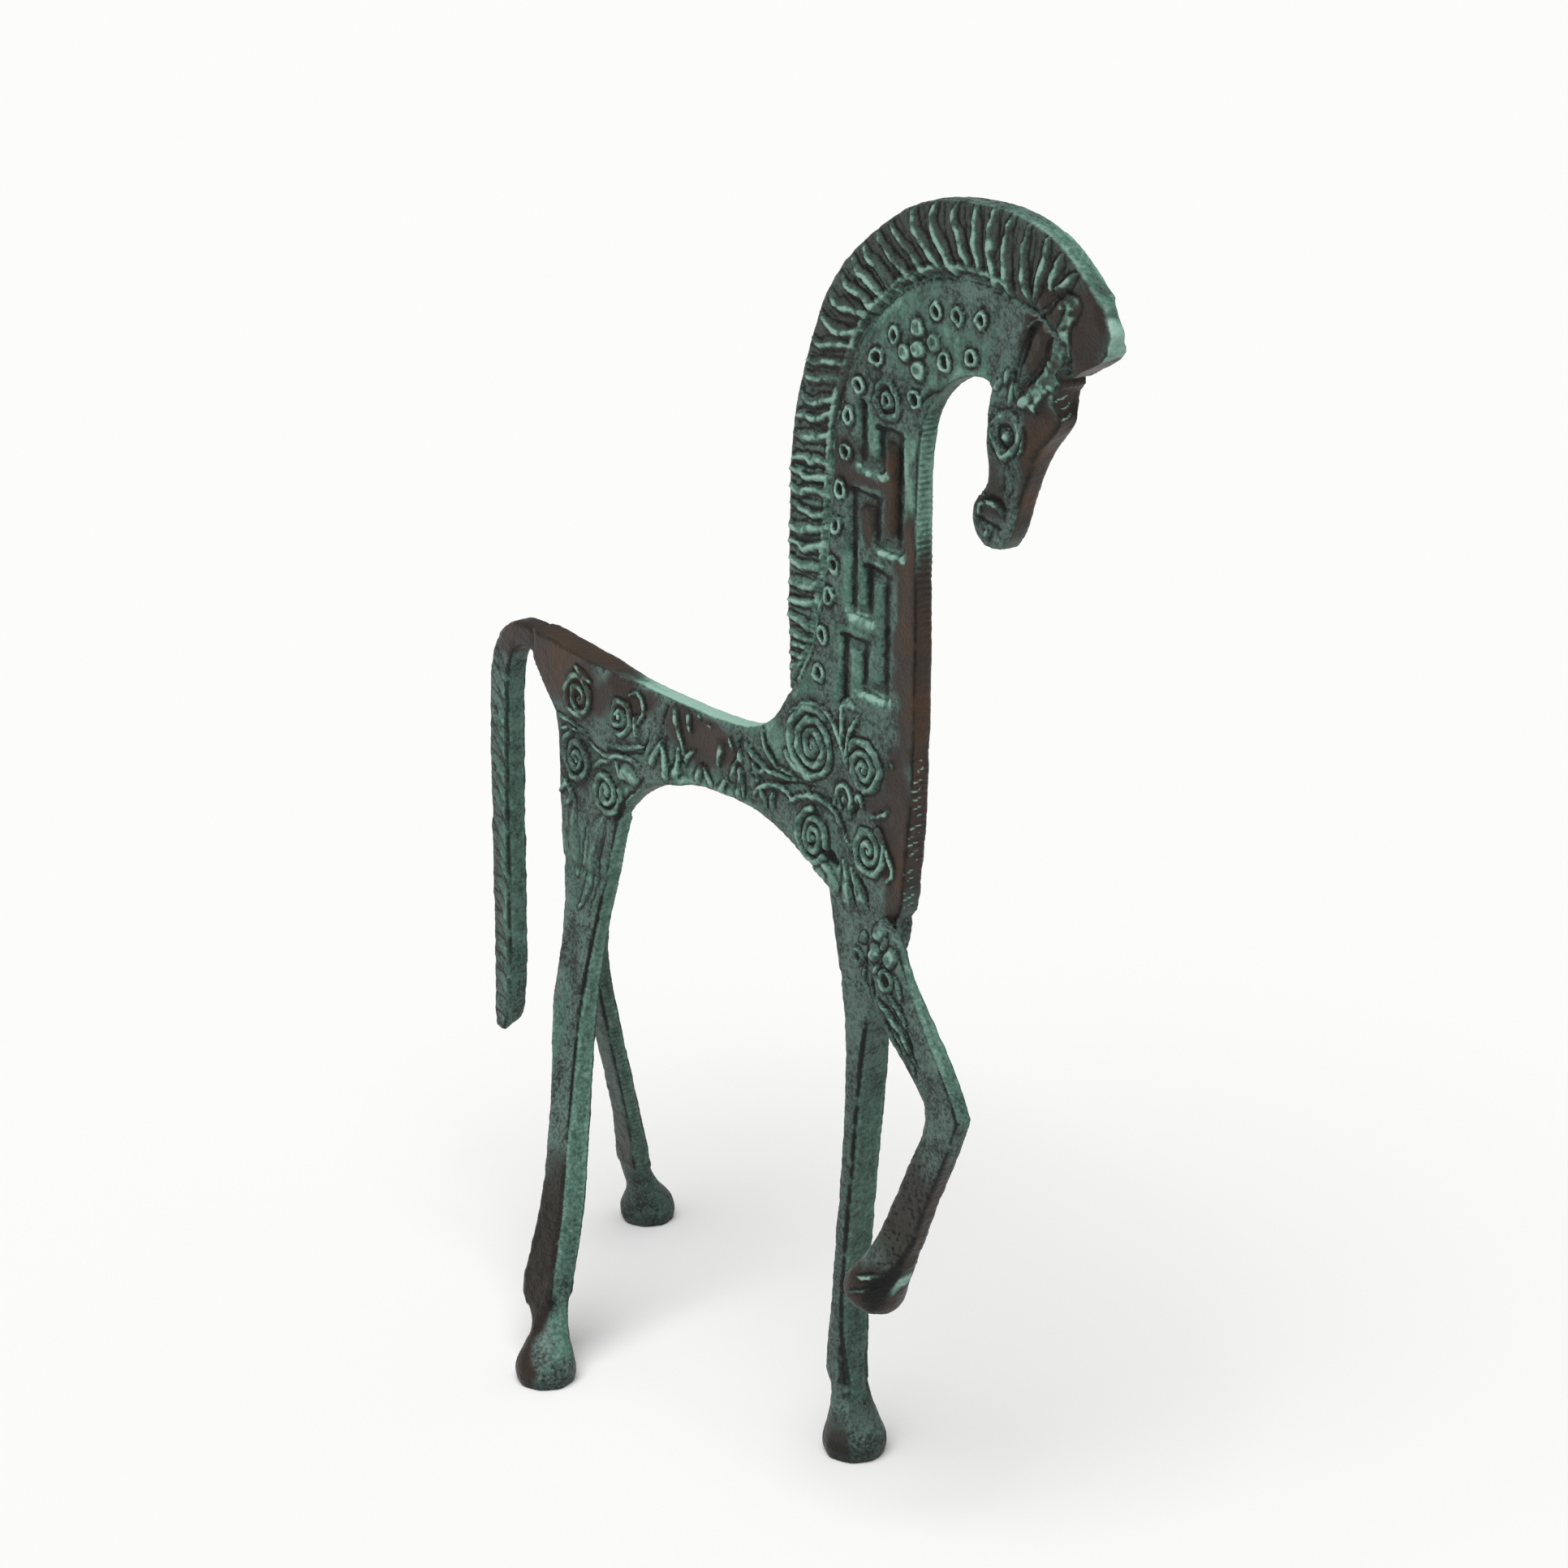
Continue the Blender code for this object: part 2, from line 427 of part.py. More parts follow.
def extrude_through(shape, rings):
    """Adds a closed solid that runs through rings of points."""
    base = [shape.verts.new(point) for point in rings[0]]
    cap = shape.faces.new(base)
    for ring in rings[1:]:
        cap = bmesh.ops.extrude_discrete_faces(shape, faces=[cap])["faces"][0]
        for vert, point in zip(cap.verts, ring):
            vert.co = point
    shape.faces.new(reversed(base))


def casting(name, rows, parent):
    """A casting extruded through its cross-sections, with its origin at the middle of the first one."""
    rings = [section_ring(row) for row in rows]
    origin = sum(rings[0], Vector()) / len(rings[0])
    shape = bmesh.new()
    extrude_through(shape, [[point - origin for point in ring] for ring in rings])
    piece = new_object(name, shape, parent)
    piece.location = origin
    piece.data.shade_smooth()
    piece.data.set_sharp_from_angle(angle=SHARP_ANGLE)
    return piece


def rod(name, start, end, diameter, parent):
    """A round rod between two points in millimetres."""
    start, end = Vector(start) * MM, Vector(end) * MM
    shape = bmesh.new()
    turn = (end - start).to_track_quat("Z", "Y").to_matrix().to_4x4()
    bmesh.ops.create_cone(shape, cap_ends=True, segments=DOWEL_SIDES, radius1=diameter / 2 * MM,
                          radius2=diameter / 2 * MM, depth=(end - start).length, matrix=turn)
    piece = new_object(name, shape, parent)
    piece.location = (start + end) / 2
    piece.data.shade_smooth()
    piece.data.set_sharp_from_angle(angle=SHARP_ANGLE)
    return piece


def as_helper(thing):
    thing.hide_render = True
    thing.display_type = "WIRE"


def combine(piece, helper, operation):
    """Joins a helper to a casting or cuts it out, with the solver that stays closed round rings inside a face."""
    as_helper(helper)
    modifier = piece.modifiers.new(helper.name, "BOOLEAN")
    modifier.operation = operation
    modifier.solver = "MANIFOLD"
    modifier.object = helper


def dowel(name, start, end, hosts, parent):
    """A hidden dowel between two points, with its blind hole in each casting that it holds together."""
    start, end = Vector(start), Vector(end)
    clearance = (end - start).normalized() * DOWEL_FIT
    pin = rod(name, start, end, DOWEL_DIAMETER, parent)
    hole = rod(name + "_hole", start - clearance, end + clearance, DOWEL_DIAMETER + 2 * DOWEL_FIT, parent)
    for host in hosts:
        combine(host, hole, "DIFFERENCE")
    return pin


def upright_dowels(name, seam_row, height, hosts, parent):
    """Two upright dowels across a level seam."""
    pins = []
    for number, place in enumerate(BUTT_DOWEL_PLACES, start=1):
        x = seam_row[0] + place * (seam_row[2] - seam_row[0])
        low = (x, seam_row[4], height - LEG_DOWEL_LENGTH / 2)
        high = (x, seam_row[4], height + LEG_DOWEL_LENGTH / 2)
        pins.append(dowel(f"{name}_{number}", low, high, hosts, parent))
    return pins


def lap_dowels(name, places, face, side, hosts, parent):
    """Cross dowels of a lap joint: a short grip in the lap, the rest in the body."""
    pins = []
    for number, (x, drop) in enumerate(places, start=1):
        z = BACK_LEVEL + drop
        outer = side * (face + SEAM + LAP_DOWEL_GRIP - DOWEL_FIT)
        inner = outer - side * LAP_DOWEL_LENGTH
        pins.append(dowel(f"{name}_{number}", (x, outer, z), (x, inner, z), hosts, parent))
    return pins


def face_finder(piece, side):
    """A function that tells how far from the middle plane a casting's broad face lies at a place."""
    shape = bmesh.new()
    shape.from_mesh(piece.data)
    tree = BVHTree.FromBMesh(shape)
    shape.free()

    def face(x, z):
        start = Vector((x, side * FACE_PROBE, z)) * MM - piece.location
        hit = tree.ray_cast(start, Vector((0.0, -side, 0.0)))[0]
        return NECK_THICKNESS / 2 if hit is None else abs(hit.y + piece.location.y) / MM

    return face


def spiral_path(x, z, radius, turns, start, hand):
    """Points along a spiral from its outer end to the small eye in its middle."""
    path = []
    whole = turns * 2 * math.pi
    turned = 0.0
    while turned < whole:
        angle = math.radians(start) - hand * turned
        reach = radius + (SPIRAL_EYE - radius) * turned / whole
        path.append((x + reach * math.cos(angle), z + reach * math.sin(angle)))
        turned += min(SPIRAL_TURN, SPIRAL_STEP / reach)
    return path


def strip(shape, path, face, side, lower, upper):
    """A bar along a path on a broad face. Lower and upper are each a height over that face and a width."""
    points = np.array(path)
    ways = np.diff(points, axis=0)
    ways /= np.linalg.norm(ways, axis=1)[:, None]
    before, after = np.vstack([ways[:1], ways]), np.vstack([ways, ways[-1:]])
    along = (before + after) / (1 + np.sum(before * after, axis=1))[:, None]
    rings = []
    for (x, z), (run_x, run_z) in zip(points, along):
        ring = []
        for height, offset in ((lower[0], lower[1] / 2), (lower[0], -lower[1] / 2),
                               (upper[0], -upper[1] / 2), (upper[0], upper[1] / 2)):
            out = side * (face(x, z) + height)
            ring.append(Vector((x - run_z * offset, out, z + run_x * offset)) * MM)
        rings.append(ring)
    extrude_through(shape, rings)


def hoop(shape, x, z, radius, sides, face, side):
    """A raised ring on a broad face."""
    section = []
    for height, offset in ((-RAISED_BITE, RING_FOOT / 2), (-RAISED_BITE, -RING_FOOT / 2),
                           (RAISED_HEIGHT, -RING_TOP / 2), (RAISED_HEIGHT, RING_TOP / 2)):
        section.append(shape.verts.new(Vector((x + radius + offset, side * (face(x, z) + height), z)) * MM))
    edges = [shape.edges.new((section[index - 1], section[index])) for index in range(len(section))]
    bmesh.ops.spin(shape, geom=section + edges, cent=Vector((x, 0.0, z)) * MM, axis=(0.0, 1.0, 0.0),
                   angle=2 * math.pi, steps=sides, use_merge=True)


def boss(shape, x, z, face, side):
    """A raised round boss on a broad face."""
    middle = side * (face(x, z) + (RAISED_HEIGHT - RAISED_BITE) / 2)
    turn = Vector((0.0, side, 0.0)).to_track_quat("Z", "Y").to_matrix().to_4x4()
    bmesh.ops.create_cone(shape, cap_ends=True, segments=RING_SIDES, radius1=BOSS_FOOT / 2 * MM,
                          radius2=BOSS_TOP / 2 * MM, depth=(RAISED_HEIGHT + RAISED_BITE) * MM,
                          matrix=Matrix.Translation(Vector((x, middle, z)) * MM) @ turn)


def ornament(body, side, parent):
    """Raises the spirals, rings and bosses on one broad face of the body and sinks the key into it."""
    face = face_finder(body, side)
    raised = bmesh.new()
    foot, top = (-RAISED_BITE, SPIRAL_FOOT), (RAISED_HEIGHT, SPIRAL_TOP)
    for x, drop, *form in SPIRALS if side < 0 else SPIRALS[:-1]:
        strip(raised, spiral_path(x, BACK_LEVEL + drop, *form), face, side, foot, top)
    for x, rise in SMALL_RINGS:
        hoop(raised, x, BACK_LEVEL + rise, RING_RADIUS, RING_SIDES, face, side)
    for x, rise, radius in WIDE_RINGS:
        hoop(raised, x, BACK_LEVEL + rise, radius, WIDE_RING_SIDES, face, side)
    for x, rise in BOSSES:
        boss(raised, x, BACK_LEVEL + rise, face, side)
    sunk = bmesh.new()
    band = [(x, BACK_LEVEL + rise) for x, rise in KEY_LINE]
    slope = (KEY_MOUTH - KEY_FLOOR) / KEY_DEPTH
    strip(sunk, band, face, side, (-KEY_DEPTH, KEY_FLOOR), (RAISED_HEIGHT, KEY_MOUTH + slope * RAISED_HEIGHT))
    name = "near" if side < 0 else "far"
    combine(body, new_object(name + "_raised", raised, parent), "UNION")
    combine(body, new_object(name + "_key", sunk, parent), "DIFFERENCE")


def bronze(name, colour, roughness):
    """Old bronze under a green-grey patina."""
    material = bpy.data.materials.new(name)
    material.use_nodes = True
    shader = material.node_tree.nodes["Principled BSDF"]
    shader.inputs["Base Color"].default_value = (*colour, 1.0)
    shader.inputs["Roughness"].default_value = roughness
    shader.inputs["Metallic"].default_value = 0.55
    return material


def settle(parent, pieces):
    """Puts the middle of the footprint over the origin, with the soles on the ground."""
    bpy.context.view_layer.update()
    points = [piece.matrix_world @ vert.co for piece in pieces for vert in piece.data.vertices]
    low = np.min(points, axis=0)
    high = np.max(points, axis=0)
    parent.location = (-(low[0] + high[0]) / 2, -(low[1] + high[1]) / 2, -low[2])


def body_rows():
    """The rows of the right hind leg and of the body that it carries, split at their seam."""
    neck = [Row(line, front, 0.0, thick) for crest, line, front, thick in NECK]
    return split_at(smooth(RIGHT_HIND_LEG + lifted(HAUNCH + TRUNK + neck + HEAD)), HIND_SEAM_LEVEL)


def mane_rows():
    """The mane's rows, its inner outline a seam away from the mane line of the neck."""
    rows = []
    for crest, line, front, thick in NECK:
        away = (Vector(crest) - Vector(line)).normalized() * SEAM
        corner = "rear" if crest == FORELOCK_CORNER else ""
        rows.append(Row(crest, tuple(Vector(line) + away), 0.0, MANE_THICKNESS, EDGE_RADIUS, corner))
    return smooth(lifted(rows))


def tail_rows():
    """The tail's rows, carried by its seat."""
    rows = []
    for outer, inner in TAIL:
        rear = (TAIL_SEAT_X + outer[0], outer[1])
        front = (TAIL_SEAT_X + inner[0], inner[1])
        rows.append(Row(rear, front, 0.0, TAIL_THICKNESS, LEG_EDGE_RADIUS))
    return smooth(lifted(rows))


def mane_dowels(rows, hosts, parent):
    """Dowels that stand across the mane line."""
    pins = []
    for number, place in enumerate(MANE_DOWEL_PLACES, start=1):
        row = rows[round(place * (len(rows) - 1))]
        line = Vector((row[2], 0.0, row[3]))
        out = (Vector((row[0], 0.0, row[1])) - line).normalized() * MANE_DOWEL_LENGTH / 2
        pins.append(dowel(f"mane_dowel_{number}", line - out, line + out, hosts, parent))
    return pins


def build():
    clear_scene()
    root = bpy.data.objects.new("horse", None)
    bpy.context.collection.objects.link(root)

    right_hind_rows, trunk_rows = body_rows()
    left_fore_rows, breast_rows = split_at(smooth(LEFT_FORELEG), FORE_SEAM_LEVEL)
    crest_rows = mane_rows()

    body = casting("body", trunk_rows, root)
    combine(body, casting("breast_root", breast_rows, root), "UNION")
    for side in (-1, 1):
        ornament(body, side, root)
    mane = casting("mane_crest", crest_rows, root)
    tail = casting("tail", tail_rows(), root)
    right_hind = casting("right_hind_leg", right_hind_rows, root)
    left_hind = casting("left_hind_leg", smooth(LEFT_HIND_LEG), root)
    left_fore = casting("left_foreleg", left_fore_rows, root)
    right_fore = casting("right_foreleg", smooth(lifted(RIGHT_FORELEG + raised_hoof_rows())), root)
    castings = [body, mane, tail, right_hind, left_hind, left_fore, right_fore]

    hind_seam = right_hind_rows[-1]
    fore_seam = left_fore_rows[-1]
    near_breast = CHEST_THICKNESS / 2
    far_haunch = HAUNCH_THICKNESS / 2
    pins = upright_dowels("right_hind_dowel", hind_seam, HIND_SEAM_LEVEL, (body, right_hind), root)
    pins += upright_dowels("left_foreleg_dowel", fore_seam, FORE_SEAM_LEVEL, (body, left_fore), root)
    pins += lap_dowels("right_foreleg_dowel", RAISED_LEG_PINS, near_breast, -1, (body, right_fore), root)
    pins += lap_dowels("left_hind_dowel", FAR_LEG_PINS, far_haunch, 1, (body, left_hind), root)
    pins += mane_dowels(crest_rows, (body, mane), root)
    tail_pin = BACK_LEVEL + (TAIL_SEAT_TOP + TAIL_SEAT_BOTTOM) / 2
    tail_ends = [(TAIL_SEAT_X + side * TAIL_DOWEL_LENGTH / 2, 0.0, tail_pin) for side in (-1, 1)]
    pins.append(dowel("tail_dowel", *tail_ends, (body, tail), root))

    looks = {"body": (0.16, 0.19, 0.17), "mane_crest": (0.11, 0.12, 0.10), "tail": (0.12, 0.11, 0.09),
             "right_hind_leg": (0.14, 0.16, 0.14), "left_hind_leg": (0.12, 0.13, 0.12),
             "left_foreleg": (0.13, 0.20, 0.17), "right_foreleg": (0.15, 0.17, 0.15)}
    for piece in castings:
        piece.data.materials.append(bronze(piece.name + "_bronze", looks[piece.name], 0.55))
    for pin in pins:
        pin.data.materials.append(bronze(pin.name + "_bronze", (0.30, 0.17, 0.08), 0.4))
    settle(root, castings)


build()
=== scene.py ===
"""Looks of the cast bronze horse: its relief, its patina with some painted highlights and painted shade, and a plain
studio stage.

Every casting is a fine skin over its CAD solid, with the ornament worked on both broad faces. Ornament is drawn in
millimetres on the plane of the horse, x towards the head and z up. The drawing's zero lies at DRAWING_X in the frame
and the horse's middle plane at MIDDLE_Y.
"""

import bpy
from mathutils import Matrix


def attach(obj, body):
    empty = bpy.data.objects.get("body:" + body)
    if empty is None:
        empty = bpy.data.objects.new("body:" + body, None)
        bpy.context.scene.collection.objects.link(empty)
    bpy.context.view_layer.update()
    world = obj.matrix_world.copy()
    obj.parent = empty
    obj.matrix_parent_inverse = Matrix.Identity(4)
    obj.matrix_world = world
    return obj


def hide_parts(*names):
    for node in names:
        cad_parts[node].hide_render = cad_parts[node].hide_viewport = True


bl_info = {
    "name": "Bronze Horse Figurine",
    "version": (1, 0, 0),
    "blender": (4, 5, 0),
    "location": "3D View > Sidebar > Horse",
    "description": "Dresses the cast horse with its relief, its verdigris and a studio stage",
    "category": "Object",
}

import math
from typing import NamedTuple

import bmesh
import bpy
import numpy as np
from bpy.props import FloatProperty, FloatVectorProperty, PointerProperty
from mathutils import Vector, noise
from mathutils.bvhtree import BVHTree
from mathutils.kdtree import KDTree

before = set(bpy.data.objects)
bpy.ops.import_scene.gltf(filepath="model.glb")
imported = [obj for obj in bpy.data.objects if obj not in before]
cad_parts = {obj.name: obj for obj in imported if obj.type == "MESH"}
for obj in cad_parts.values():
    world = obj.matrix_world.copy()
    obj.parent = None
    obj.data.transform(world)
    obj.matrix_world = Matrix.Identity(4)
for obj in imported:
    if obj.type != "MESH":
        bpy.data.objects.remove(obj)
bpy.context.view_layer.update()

MM = 0.001
# The drawing's zero and the horse's middle plane in the frame, in millimetres.
DRAWING_X = 6.9
MIDDLE_Y = -0.35
# Points further than the first from the middle plane lie on a broad face, and those past the second give its level,
# in millimetres.
FACE_DEPTH = 1.4
LEVEL_DEPTH = 2.2
# How far beside a line its foot is drawn, the body's skin is refined, and the skin is levelled over the ornament that
# the solid has, in millimetres.
FOOT_REACH = 1.6
FINE_REACH = 0.3
LEVEL_REACH = 0.9
# A skin this near to the next casting belongs to a joint. It is carried past the gap and a little under the skin
# there, and beside a flush joint it is levelled.
JOINT_GAP = 0.5 * MM
SEAM_LAP = 1.0 * MM
SEAM_DIP = 0.1 * MM
FLUSH_REACH = 1.6 * MM
# Rounds of averaging that level a face, and that round the hooves and the forelock's end.
LEVEL_ROUNDS = 150
SOFT_ROUNDS = 40
# Sizes of the casting's texture in millimetres: soft lumps, their finer grain, drift of the patina, waver of the tool
# marks, and pits.
LUMP, GRAIN, DRIFT, WAVER, PIT = 7, 2.2, 8, 10, 0.9
PIT_DEPTH = 0.22
# A shift that gives a second noise of the same size, in metres.
ELSEWHERE = 0.05
# Tool marks run across the fronts of the neck and the legs, below this height and behind this place in metres.
MARKS_TOP, MARKS_FRONT = 0.254, 0.066
# Spacing of the tool marks, and spacing and height of the scratches on the breast and the brow, in millimetres.
MARK_SPACING = 1.3
SCRATCH_SPACING, SCRATCH_RISE = 2.1, 0.15
# Fronts where the body's skin is refined for marks: the throat, the breast and the brow. Lowest and highest z and
# rearmost and foremost x in metres, and how far they face forward at least.
MARKED_FRONTS = ((0.2, 0.256, -1, 0.07, 0.5), (0.143, 0.18, 0.05, 1, 0.5), (0.26, 0.268, 0.09, 1, 0.4))
# The way that the overhead light falls, how broad it looks in degrees, and half the floor's width.
LAMP_WAY = (-0.25, 0.35, -1)
LAMP_BREADTH = 50
FLOOR_HALF = 30
# The photo's view in the frame, with the lens on a sensor of this width.
CAMERA_PLACE = (0.6855, -0.48795, 0.4662)
CAMERA_TARGET = (0.0069, -0.00035, 0.15876)
CAMERA_LENS, CAMERA_SENSOR = 92.9, 36
CAMERA_END = 100


def linear(hex_colour):
    """sRGB hex to the linear colour that Blender's sockets take."""
    parts = [int(hex_colour[i:i + 2], 16) / 255 for i in (1, 3, 5)]
    return [p / 12.92 if p <= 0.04045 else ((p + 0.055) / 1.055) ** 2.4 for p in parts]


class HorseRelief(bpy.types.PropertyGroup):
    """Fineness of the skin and height of its relief"""
    skin: FloatProperty(
        name="Skin grain", description="Spacing of the points on a casting's skin",
        default=0.4 * MM, min=0.3 * MM, max=2 * MM, unit="LENGTH", precision=5)
    body_skin: FloatProperty(
        name="Body skin grain", description="Spacing on the body, halved along its ornament",
        default=0.8 * MM, min=0.4 * MM, max=2 * MM, unit="LENGTH", precision=5)
    height: FloatProperty(
        name="Relief height", description="Share of the drawn height that the ornament stands up",
        default=1.0, min=0.0, max=2.0)
    wear: FloatProperty(
        name="Casting unevenness", description="Height of the soft lumps that the mould left",
        default=0.18 * MM, min=0.0, max=1 * MM, unit="LENGTH", precision=5)


class HorsePatina(bpy.types.PropertyGroup):
    """Colours of the bronze and its patina"""
    # Also the colour of the painted highlights on the key and of the painted sheen on the top of the back.
    verdigris_and_highlight: FloatVectorProperty(
        name="Verdigris", description="Pale copper carbonate on edges and raised lines",
        default=linear("#9CC3B3"), size=3, subtype="COLOR", min=0, max=1)
    moss: FloatVectorProperty(
        name="Green film", description="Deeper green where the crust is thin",
        default=linear("#527C6D"), size=3, subtype="COLOR", min=0, max=1)
    teal: FloatVectorProperty(
        name="Teal film", description="Thin grey-green film on the plain metal",
        default=linear("#6D877F"), size=3, subtype="COLOR", min=0, max=1)
    dark: FloatVectorProperty(
        name="Dark oxide", description="Dark oxide between the teal patches",
        default=linear("#2A3230"), size=3, subtype="COLOR", min=0, max=1)
    bare: FloatVectorProperty(
        name="Bare bronze", description="Brown rubbed metal",
        default=linear("#3A322C"), size=3, subtype="COLOR", min=0, max=1)
    rust: FloatVectorProperty(
        name="Warm bronze", description="Warmer tint in the rubbed metal",
        default=linear("#503B2B"), size=3, subtype="COLOR", min=0, max=1)
    # Near-black colour of grime, and of painted shade in cuts, at the feet of raised lines, along forward arrises and
    # on the key.
    soot: FloatVectorProperty(
        name="Recess", description="Near-black dirt in the recesses",
        default=linear("#111312"), size=3, subtype="COLOR", min=0, max=1)
    rod: FloatVectorProperty(
        name="Dowel bronze", description="Bright drawn bronze of the hidden dowels",
        default=linear("#B08D57"), size=3, subtype="COLOR", min=0, max=1)


class HorseStage(bpy.types.PropertyGroup):
    """Floor and light"""
    floor: FloatVectorProperty(
        name="Floor", description="Plain pale floor", default=linear("#FBFBFA"), size=3,
        subtype="COLOR", min=0, max=1)
    bounce: FloatVectorProperty(
        name="Floor bounce", description="Colour of the floor in the light that it throws back",
        default=linear("#BDBDBB"), size=3, subtype="COLOR", min=0, max=1)
    sky: FloatProperty(
        name="Room light", description="Even light from all round", default=0.28, min=0, max=3)
    lamp: FloatProperty(
        name="Overhead light", description="Broad soft lamp above", default=2.5, min=0, max=10)


class Stroke(NamedTuple):
    """One line of the ornament: raised, cut in, or only a line of colour where its rise is nil, as the patina lines
    and the key's painted light are.

    Its half width and rise are in millimetres. A share of its width is flat. It tapers to both ends, or to the last
    one where the taper is below nil. Its crest takes pale green and it holds grime, and on the key these are painted
    highlights and painted shade. Its left side leans out further.
    """
    points: list
    half: float
    rise: float
    flat: float = 0.0
    taper: float = 0.0
    green: float = 0.0
    soot: float = 0.0
    lean: float = 1.0


def curve(*points, steps=4):
    """A smooth line through points."""
    p = np.array(points, float)
    p = np.vstack([2 * p[0] - p[1], p, 2 * p[-1] - p[-2]])
    line = []
    for a, b, c, d in zip(p, p[1:], p[2:], p[3:]):
        for t in np.arange(steps) / steps:
            line.append(tuple(b + (c - a) * t / 2 + (2 * a - 5 * b + 4 * c - d) * t * t / 2
                              + (3 * b - a - 3 * c + d) * t ** 3 / 2))
    return line + [tuple(p[-2])]


def ring(x, z, radius, half, rise, **looks):
    """A round stroke."""
    angles = np.radians(np.linspace(0, 360, 25))
    return Stroke([(x + radius * math.cos(a), z + radius * math.sin(a)) for a in angles], half, rise, **looks)


def dot(x, z, half, rise, **looks):
    """A stroke of no length."""
    return Stroke([(x, z), (x, z)], half, rise, **looks)


def strokes(half, rise, *paths, flat=0.0, taper=0.6, green=0.8, soot=0.0, lean=1.0):
    """Like strokes along smooth paths."""
    return [Stroke(curve(*path), half, rise, flat, taper, green, soot, lean) for path in paths]


# Centre, outer radius, turns, direction of the outer end in degrees and hand, as in the CAD. The CAD leaves the last
# one off the far face, where the far leg's lap begins, and here it is drawn on both faces.
SPIRALS = ((14.2, 172.5, 8.6, 3.1, 60, -1), (33, 172.5, 6.2, 2.3, 150, 1), (15.2, 151.4, 6.6, 2.4, 95, -1),
           (35, 154.6, 6.2, 2.2, 60, 1), (-77, 158.5, 5.6, 1.9, 200, 1), (-60, 158.5, 5, 1.8, 240, -1),
           (-68, 137, 5.8, 2, 20, 1), (-80.5, 142, 6.2, 2.2, 110, -1))
RINGS = ((55.4, 276.2), (62.4, 276.5), (69.9, 277.2), (41.4, 268.7), (35.6, 262.9), (30.4, 256), (26.4, 248.7),
         (25.4, 240.4), (23.7, 232.2), (22.2, 223.7), (21.1, 215), (19.8, 207.7), (17.9, 198.7), (16.6, 189.5),
         (67.1, 269), (58.4, 266.5), (48.7, 256.7))
BOSSES = ((49.4, 271.7), (54.4, 269.4), (49.6, 267.2), (45.4, 265.7), (49.9, 262.7))
GREAT_RING = (39.4, 254.4)
EYE = (79.6, 256.2)
KEY = [(31, 251), (31, 239.5), (37.4, 239.5), (37.4, 246.8), (43.4, 246.8), (43.4, 223.4), (36, 223.4), (36, 231.8),
       (28, 231.8), (28, 206.8), (33.6, 206.8), (33.8, 216), (39.4, 216), (39.4, 190.7), (32, 190.7), (32, 199.3),
       (25.4, 199.3), (25.4, 186)]
KEY_HALF = 2.1


def spiral(x, z, radius, turns, start, hand):
    """A wide band that winds from its outer end to an eye, with a narrow groove between its turns."""
    share = np.linspace(0, 1, int(22 * turns))
    angles = math.radians(start) - hand * 2 * math.pi * turns * share
    reach = radius + (0.9 - radius) * share
    line = [(x + r * math.cos(a), z + r * math.sin(a)) for r, a in zip(reach, angles)]
    return [Stroke(line, 0.44 * (radius - 0.9) / turns, 0.9, flat=0.3, green=0.5),
            Stroke([(x, z), (x + 0.4, z - 0.6)], 1.0, 1.0, green=0.9)]


def solid_ornament():
    """The ornament that the CAD solid has in coarse form too."""
    drawn = [stroke for form in SPIRALS for stroke in spiral(*form)]
    for x, z in RINGS:
        drawn += [ring(x, z, 1.6, 0.68, 0.7, flat=0.1, green=1.0), dot(x, z, 0.95, -0.45, flat=0.5, soot=1.0)]
    for x, z in BOSSES:
        drawn += [dot(x, z, 2.3, 0.75, flat=0.55, green=1.0), dot(x, z, 1.7, -0.4, flat=0.1, green=1.0),
                  ring(x, z, 0.8, 0.3, 0.15, green=0.9)]
    drawn += [ring(*GREAT_RING, 3.8, 0.9, 0.8, green=0.75), ring(*GREAT_RING, 1.5, 0.75, 0.8, green=0.9),
              ring(*GREAT_RING, 2.6, 0.5, -0.35, soot=0.9), dot(*GREAT_RING, 0.85, -0.45, flat=0.5, soot=1.0)]
    drawn += [ring(*EYE, 3.5, 0.9, 0.35, green=0.2), ring(*EYE, 2.2, 0.6, -0.35, soot=0.9),
              dot(*EYE, 1.35, 0.9, green=0.9)]
    # The key is cut in, with grime and a little painted shade on its floor.
    drawn.append(Stroke(KEY, KEY_HALF, -1.15, flat=0.55, soot=0.25))
    return drawn


def key_light_and_shade():
    """Painted highlights on the key's lower walls and upper edges, painted shade under its upper walls and on its
    floor, with grime there too.
    """
    drawn = []
    for (x, z), (next_x, next_z) in zip(KEY, KEY[1:]):
        if abs(next_z - z) > abs(next_x - x):
            low, high = min(z, next_z) + 0.6, max(z, next_z) + 1.4
            # Grime and painted shade along the floor of each upright run.
            drawn.append(Stroke([(x - 0.5, low), (x - 0.5, high)], 1.5, 0, flat=0.2, soot=0.8))
        else:
            left, right = min(x, next_x) - 1.8, max(x, next_x) + 1.8
            if KEY.index((x, z)) % 4 == 1:
                # A painted highlight on each lower wall, which faces up to the light.
                drawn.append(Stroke([(left, z - 1.3), (right, z - 1.3)], 1.4, 0, flat=0.5, green=1.0))
            else:
                # Painted shade under each upper wall, and a painted highlight along the edge above it.
                drawn.append(Stroke([(left, z + 1.2), (right, z + 1.2)], 1.0, 0, flat=0.3, soot=1.0))
                drawn.append(Stroke([(left, z + 2.7), (right, z + 2.7)], 0.5, 0, green=0.6))
    # Painted highlights in the bright corners and at the lower end of the key.
    drawn += [Stroke([(35.2, 224), (35.4, 229)], 1.1, 0, flat=0.3, taper=-0.5, green=1.0),
              Stroke([(31.4, 192), (32.2, 197.8)], 1.3, 0, flat=0.3, taper=-0.6, green=1.0),
              Stroke([(28.6, 209), (28.8, 214)], 1.1, 0, flat=0.3, taper=-0.6, green=0.9),
              Stroke([(25.6, 185.2), (28.4, 185.2)], 1.3, 0.3, flat=0.3, green=0.9)]
    return drawn


